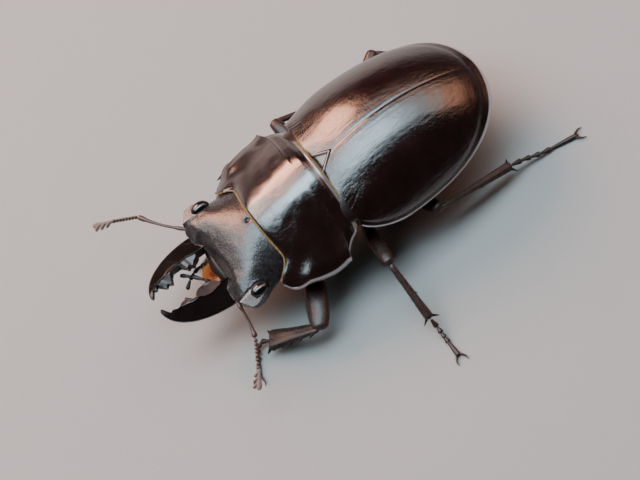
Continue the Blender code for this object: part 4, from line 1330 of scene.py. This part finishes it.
# Thorns of a shin: place along it, reach outwards or, below 0, inwards, and thickness
FORE_THORNS = ((0.12, 0.4, 0.45), (0.34, 0.5, 0.5), (0.5, 0.6, 0.55), (0.66, 0.7, 0.6),
               (0.82, 0.8, 0.65), (0.95, 1.0, 0.8), (0.95, -0.8, 0.6))
HIND_SPURS = ((0.5, 0.35, 0.3), (0.95, 1.0, 0.5), (0.95, -0.9, 0.5))
SHIN_BRISTLES = 70
JOINT_BRISTLES = 22


def thigh(hip, knee, width, depth):
    """A thigh: the short ring at the hip, then a flattened spindle with a round knee."""
    ring, spindle = ([(between(hip, knee, part), width * share, depth * share)
                      for part, share in shape]
                     for shape in (((0.0, 0.45), (0.05, 0.6), (0.11, 0.5)),
                                   ((0.11, 0.45), (0.2, 0.68), (0.4, 0.92), (0.62, 1.0),
                                    (0.85, 0.92), (0.98, 0.74), (1.04, 0.5))))
    return [limb(ring, sides=28, per_mm=14.0),
            limb(spindle, sides=48, per_mm=8.0, power=2.1)]


def shin(knee, ankle, knee_width, ankle_width, thorns):
    """A shin: it starts in the knee, widens towards the foot and ends in spurs.

    With its bodies comes the way from the shin that leads away from the beetle.
    """
    heading = unit(ankle - knee)
    start = knee + heading * 0.25
    side = unit(np.cross(heading, UP))
    outwards = side if side @ np.array((knee[0], knee[1] * 0.2, 0.0)) > 0.0 else -side
    stations = []
    for part, share in ((0.0, 0.55), (0.08, 0.8), (0.2, 0.82), (0.4, 0.86), (0.6, 0.92),
                        (0.85, 1.04), (0.97, 1.05), (1.0, 0.9)):
        width = between(knee_width, ankle_width, part) * share
        stations.append((between(start, ankle, part), width, (1.05 + 0.3 * part) * share))
    bodies = [limb(stations, sides=60, per_mm=10.0, power=2.6, ridges=6, ridge_depth=0.03)]
    edge = ankle_width * 0.3
    for part, reach, thickness in thorns:
        way = 1.0 if reach > 0.0 else -1.0
        root = between(start, ankle, part) + outwards * (edge - 0.25) * way
        tip = root + outwards * (reach + 0.35 * way) + heading * 0.9
        bodies.append(thorn(root, tip, thickness * 1.2, 0.05))
    return bodies, outwards


def foot(ankle, joints):
    """A foot: four short goblet-shaped joints, a long one, and two hooked claws.

    Each joint starts a little inside the one before it, at a share below 0 of its own length.
    """
    path = [between(ankle, joints[0], 0.05), *joints]
    bodies = []
    for start, end in zip(path, path[1:]):
        last = end is path[-1]
        root = 0.02 if start is path[0] else -0.05
        shape = ((root, 0.44), (0.3, 0.54), (0.8, 0.88), (0.99, 0.6))
        if last:
            shape = ((root, 0.44), (0.45, 0.72), (0.85, 0.85), (0.98, 0.6))
        stations = [(between(start, end, part), width, width * 0.95) for part, width in shape]
        bodies.append(limb(stations, sides=20, per_mm=10.0, sole=True))
    heading = unit((path[-1] - path[-2]) * (1.0, 1.0, 0.0))
    side = np.cross(heading, UP)
    root = between(path[-2], path[-1], 0.85)
    for way in (-1.0, 1.0):
        claw = [(root + side * way * 0.2, 0.4, 0.45),
                (root + heading * 0.5 + side * way * 0.55 + (0.0, 0.0, 0.16), 0.32, 0.4),
                (root + heading * 1.1 + side * way * 0.85 + (0.0, 0.0, 0.1), 0.2, 0.26),
                (root + heading * 1.6 + side * way * 0.85 - (0.0, 0.0, 0.12), 0.06, 0.08)]
        bodies.append(limb(claw, sides=14, per_mm=14.0, sole=True))
    return bodies


def leg_bristles(knee, ankle, outwards, joints, length, random):
    """Short bristles along the shin's two edges and under the foot's joints."""
    place = 0.15 + 0.85 * random.random(SHIN_BRISTLES)
    way = np.where(random.random(SHIN_BRISTLES) < 0.5, 1.0, -1.0)[:, None]
    roots = between(knee, ankle, place[:, None]) + outwards * way * (0.35 + 0.3 * place)[:, None]
    ways = outwards * way * 0.6 + unit(ankle - knee)
    lengths = length * (0.6 + 0.4 * random.random(SHIN_BRISTLES))
    spots = unwrapped(place, 0.5 + 0.4 * way[:, 0])
    bodies = [blades(roots, ways, lengths, 0.045, spots, random)]
    path = [ankle, *joints[:-1]]
    for i, (start, end) in enumerate(zip(path, path[1:])):
        angle = random.random(JOINT_BRISTLES) * TURN
        ahead = unit(end - start)
        side = unit(np.cross(ahead, UP))
        out = side * np.cos(angle)[:, None] - UP * np.sin(angle)[:, None]
        roots = end - ahead * 0.25 + out * 0.3
        roots[:, 2] = np.maximum(roots[:, 2], 0.12)
        spots = unwrapped(0.1 * i, angle / TURN)
        bodies.append(blades(roots, ahead + out * 0.5 * (1.0, 1.0, 0.15), length * 0.7, 0.04,
                             spots, random))
    return bodies


class BEETLE_OT_legs(bpy.types.Operator):
    """Adds the six legs with their hips, thorns, feet and bristles"""

    bl_idname = "beetle.legs"
    bl_label = "Legs"

    def execute(self, context):
        sizes = context.scene.beetle_sizes
        random = np.random.default_rng(sizes.seed + 1)
        horn = material("rubbed_leg_horn")
        for name, (hip, knee, ankle, joints) in LEGS.items():
            pair, side_name = name.split("_")
            hip, knee, ankle, joints = (np.array(points) for points in (hip, knee, ankle, joints))
            centre, radii = HIP_KNOBS[pair]
            add_piece("hip_" + name, [ball(mirrored(centre, SIDES[side_name]), radii)], horn,
                      ["coxa_" + name])
            width, depth, knee_width, ankle_width = LEG_SIZES[pair]
            add_piece("thigh_" + name, thigh(hip, knee, width, depth), horn,
                      ["femur_" + name])
            thorns = FORE_THORNS if pair == "fore" else HIND_SPURS
            bodies, outwards = shin(knee, ankle, knee_width, ankle_width, thorns)
            add_piece("shin_" + name, bodies, horn, ["tibia_" + name])
            add_piece("foot_" + name, foot(ankle, joints), horn, ["tarsus_" + name])
            hairs = leg_bristles(knee, ankle, outwards, joints, sizes.bristle_length / MM,
                                 random)
            add_hair("bristles_" + name, hairs, material("chestnut_bristle"))
        return {"FINISHED"}


# ---------------------------------------------------------------- fringes

FRINGE_HAIRS = 2600


def rear_fringe(length, random):
    """The hairs under the shield's rear edge, lying backwards and a little up."""
    across = random.random(FRINGE_HAIRS) * 1.94 - 0.97
    roots = shield_point(across, np.ones(FRINGE_HAIRS))[0]
    roots += stack(0.0, -0.12, -0.45 - 0.3 * random.random(FRINGE_HAIRS))
    ways = stack(0.1 * across, 1.0, 0.12 + 0.25 * random.random(FRINGE_HAIRS))
    lengths = length * (0.6 + 0.4 * random.random(FRINGE_HAIRS))
    return blades(roots, ways, lengths, 0.05, unwrapped(across / 2.0 + 0.5, 0.98), random)


def front_collar(length, random):
    """The short hairs under the shield's front edge, lying forwards over the head."""
    across = random.random(FRINGE_HAIRS) * 1.9 - 0.95
    roots = shield_point(across, np.zeros(FRINGE_HAIRS))[0]
    roots += stack(0.0, 0.02, -0.04 - 0.12 * random.random(FRINGE_HAIRS))
    ways = stack(0.05 * across, -1.0, -0.25 + 0.1 * random.random(FRINGE_HAIRS))
    lengths = length * (0.7 + 0.3 * random.random(FRINGE_HAIRS))
    return blades(roots, ways, lengths, 0.05, unwrapped(across / 2.0 + 0.5, 0.02), random)


class BEETLE_OT_fringes(bpy.types.Operator):
    """Adds the golden hairs along the shield's front and rear edge"""

    bl_idname = "beetle.fringes"
    bl_label = "Fringes"

    def execute(self, context):
        sizes = context.scene.beetle_sizes
        random = np.random.default_rng(sizes.seed + 2)
        golden = material("golden_fringe_hair")
        for name, maker, length in (("rear_fringe", rear_fringe, sizes.fringe_length),
                                    ("front_collar", front_collar, sizes.collar_length)):
            add_hair(name, [maker(length / MM, random)], golden)
        return {"FINISHED"}


# ---------------------------------------------------------------- stage

CAMERA_PLACE = (157.38, -16.45, 318.09)
CAMERA_AIM = (8.974, -5.99, 14.0)
CAMERA_ROLL = -32.98
FLOOR_REACH = 2.0          # how far the floor reaches from the middle, in metres

# Each soft box: family, place, width, length, turn, colour, brightness as a share of the family's
SOFT_BOXES = {
    "right": ("warm", (-452.0, -155.0, 395.0), 320.0, 300.0, 18.0, "#ffb697", 1.0),
    "right_front": ("warm", (-378.0, -359.0, 333.0), 320.0, 190.0, 0.0, "#f4e4dd", 0.34),
    "right_strip": ("warm", (-307.0, 307.0, 472.0), 80.0, 520.0, 0.0, "#ffc0a2", 0.15),
    "front_fill": ("warm", (-230.0, -620.0, 330.0), 420.0, 400.0, 0.0, "#f3eeee", 0.02),
}

# The row of soft boxes overhead, bent round the beetle: the angles towards its tail at which
# each begins and ends, its colour and its brightness as a share of the cool family's
OVERHEAD = ((-50, -42, "#cfe9f6", 0.4), (-42, -33, "#cfe9f6", 0.6), (-33, -25, "#cfe9f6", 0.85),
            (-25, 12, "#cfe9f6", 1.0), (12, 19, "#cfe9f6", 0.75), (19, 26, "#d3e9f2", 0.52),
            (26, 34, "#d3e6ef", 0.36), (34, 43, "#d6e2e8", 0.26), (43, 53, "#e6d3ca", 0.27),
            (53, 66, "#f2a584", 0.34))
OVERHEAD_REACH, OVERHEAD_WIDTH, OVERHEAD_LEAN = 520.0, 258.0, 8.5
BEETLE_MIDDLE = (0.0, 0.0, 15.0)


def aim_at(place, aim):
    """The turn that makes an object at place look at aim."""
    return (Vector(aim) - Vector(place)).to_track_quat("-Z", "Y")


def face_beetle(place, turn):
    """The turn that makes a light at place look at the beetle, its length along the body."""
    back = (Vector(place) - Vector(BEETLE_MIDDLE)).normalized()
    across = Vector((0.0, 1.0, 0.0)).cross(back).normalized()
    facing = Matrix((across, back.cross(across), back)).transposed().to_quaternion()
    return facing @ Quaternion(UP, math.radians(turn))


def soft_boxes():
    """Rows of name, family, place, width, length, turn, colour and share of all soft boxes.

    Those overhead lie on a circle round the beetle's middle, and each is as long as twice the
    circle's radius times the tangent of half its angle, so that they meet.
    """
    rows = [(name, *row) for name, row in SOFT_BOXES.items()]
    lean = math.radians(OVERHEAD_LEAN)
    for first, last, tint, share in OVERHEAD:
        middle = math.radians((first + last) / 2.0)
        way = np.array((-math.sin(lean) * math.cos(middle), math.sin(middle),
                        math.cos(lean) * math.cos(middle)))
        length = 2.0 * OVERHEAD_REACH * math.tan(math.radians(last - first) / 2.0)
        rows.append((f"overhead_{first}", "cool", tuple(BEETLE_MIDDLE + OVERHEAD_REACH * way),
                     OVERHEAD_WIDTH, length, 0.0, tint, share))
    return rows


def add_turned(name, data, place, turn):
    """A light or a camera at a place of the beetle's own frame, turned as asked."""
    item = bpy.data.objects.new(name, data)
    item.location = Vector(np.asarray(place, float) * MM + ORIGIN)
    item.rotation_mode = "QUATERNION"
    item.rotation_quaternion = turn
    bpy.context.scene.collection.objects.link(item)
    return item


def add_floor():
    """A flat square floor of pale card."""
    corners = FLOOR_REACH * np.array(((-1.0, -1.0, 0.0), (1.0, -1.0, 0.0), (1.0, 1.0, 0.0),
                                      (-1.0, 1.0, 0.0)))
    mesh = make_mesh("floor", corners, np.array(((0, 1, 2, 3),)), np.zeros((0, 3), int))
    mesh.materials.append(material("matt_pale_card"))
    floor = bpy.data.objects.new("floor", mesh)
    bpy.context.scene.collection.objects.link(floor)


def add_world(walls, ceiling):
    """Pale studio walls round the beetle, which fade upwards to a dark ceiling."""
    world = bpy.data.worlds.new("pale_studio")
    world.use_nodes = True
    background = world.node_tree.nodes["Background"]
    background.inputs["Color"].default_value = rgba(linear("#e9e7e4"))
    way = add_node(world, "SeparateXYZ", {0: add_node(world, "TexCoord").outputs[0]})
    fade = add_node(world, "MapRange", {"Value": way.outputs["Z"], "From Min": 0.1,
                                        "From Max": 0.22, "To Min": walls, "To Max": ceiling})
    world.node_tree.links.new(fade.outputs[0], background.inputs["Strength"])
    bpy.context.scene.world = world


class BEETLE_OT_stage(bpy.types.Operator):
    """Adds the pale floor, the soft studio light and the camera"""

    bl_idname = "beetle.stage"
    bl_label = "Stage"

    def execute(self, context):
        scene = context.scene
        stage = scene.beetle_stage
        add_floor()
        for name, family, place, width, length, turn, tint, share in soft_boxes():
            light = bpy.data.lights.new("soft_box_" + name, "AREA")
            light.shape = "RECTANGLE"
            light.size = width * MM
            light.size_y = length * MM
            # Power is brightness times area times pi, so a box looks as bright at any size
            light.energy = getattr(stage, family) * share * light.size * light.size_y * math.pi
            light.color = linear(tint)
            add_turned("soft_box_" + name, light, place, face_beetle(place, turn))
        add_world(stage.walls, stage.ceiling)
        camera_data = bpy.data.cameras.new("camera")
        camera_data.lens = stage.lens
        camera_data.clip_start = 0.01
        camera_data.clip_end = 10.0
        roll = Quaternion(UP, math.radians(CAMERA_ROLL))
        facing = aim_at(CAMERA_PLACE, CAMERA_AIM)
        scene.camera = add_turned("camera", camera_data, CAMERA_PLACE, facing @ roll)
        return {"FINISHED"}


# ---------------------------------------------------------------- add-on

OPERATORS = (BEETLE_OT_wing_covers, BEETLE_OT_underside, BEETLE_OT_shield, BEETLE_OT_head,
             BEETLE_OT_jaws, BEETLE_OT_mouth, BEETLE_OT_feelers, BEETLE_OT_legs,
             BEETLE_OT_fringes, BEETLE_OT_stage)


class BEETLE_PT_panel(bpy.types.Panel):
    """Lists the beetle's pieces"""

    bl_idname = "BEETLE_PT_panel"
    bl_label = "Stag beetle"
    bl_space_type = "VIEW_3D"
    bl_region_type = "UI"
    bl_category = "Beetle"

    def draw(self, context):
        for operator in OPERATORS:
            self.layout.operator(operator.bl_idname)
        for group in ("beetle_sizes", "beetle_colours", "beetle_stage"):
            settings = getattr(context.scene, group)
            for name in settings.bl_rna.properties.keys():
                if name not in ("rna_type", "name"):
                    self.layout.prop(settings, name)


CLASSES = (BeetleSizes, BeetleColours, BeetleStage, *OPERATORS, BEETLE_PT_panel)


def register():
    """Registers the classes and gives each scene the sizes, colours and stage."""
    for item in CLASSES:
        bpy.utils.register_class(item)
    bpy.types.Scene.beetle_sizes = PointerProperty(type=BeetleSizes)
    bpy.types.Scene.beetle_colours = PointerProperty(type=BeetleColours)
    bpy.types.Scene.beetle_stage = PointerProperty(type=BeetleStage)


def unregister():
    """Takes back what register has done."""
    del bpy.types.Scene.beetle_stage
    del bpy.types.Scene.beetle_colours
    del bpy.types.Scene.beetle_sizes
    for item in reversed(CLASSES):
        bpy.utils.unregister_class(item)


def main():
    """Builds every piece and the stage."""
    register()
    bpy.ops.beetle.wing_covers()
    bpy.ops.beetle.underside()
    bpy.ops.beetle.shield()
    bpy.ops.beetle.head()
    bpy.ops.beetle.jaws()
    bpy.ops.beetle.mouth()
    bpy.ops.beetle.feelers()
    bpy.ops.beetle.legs()
    bpy.ops.beetle.fringes()
    bpy.ops.beetle.stage()


if __name__ == "__main__":
    main()
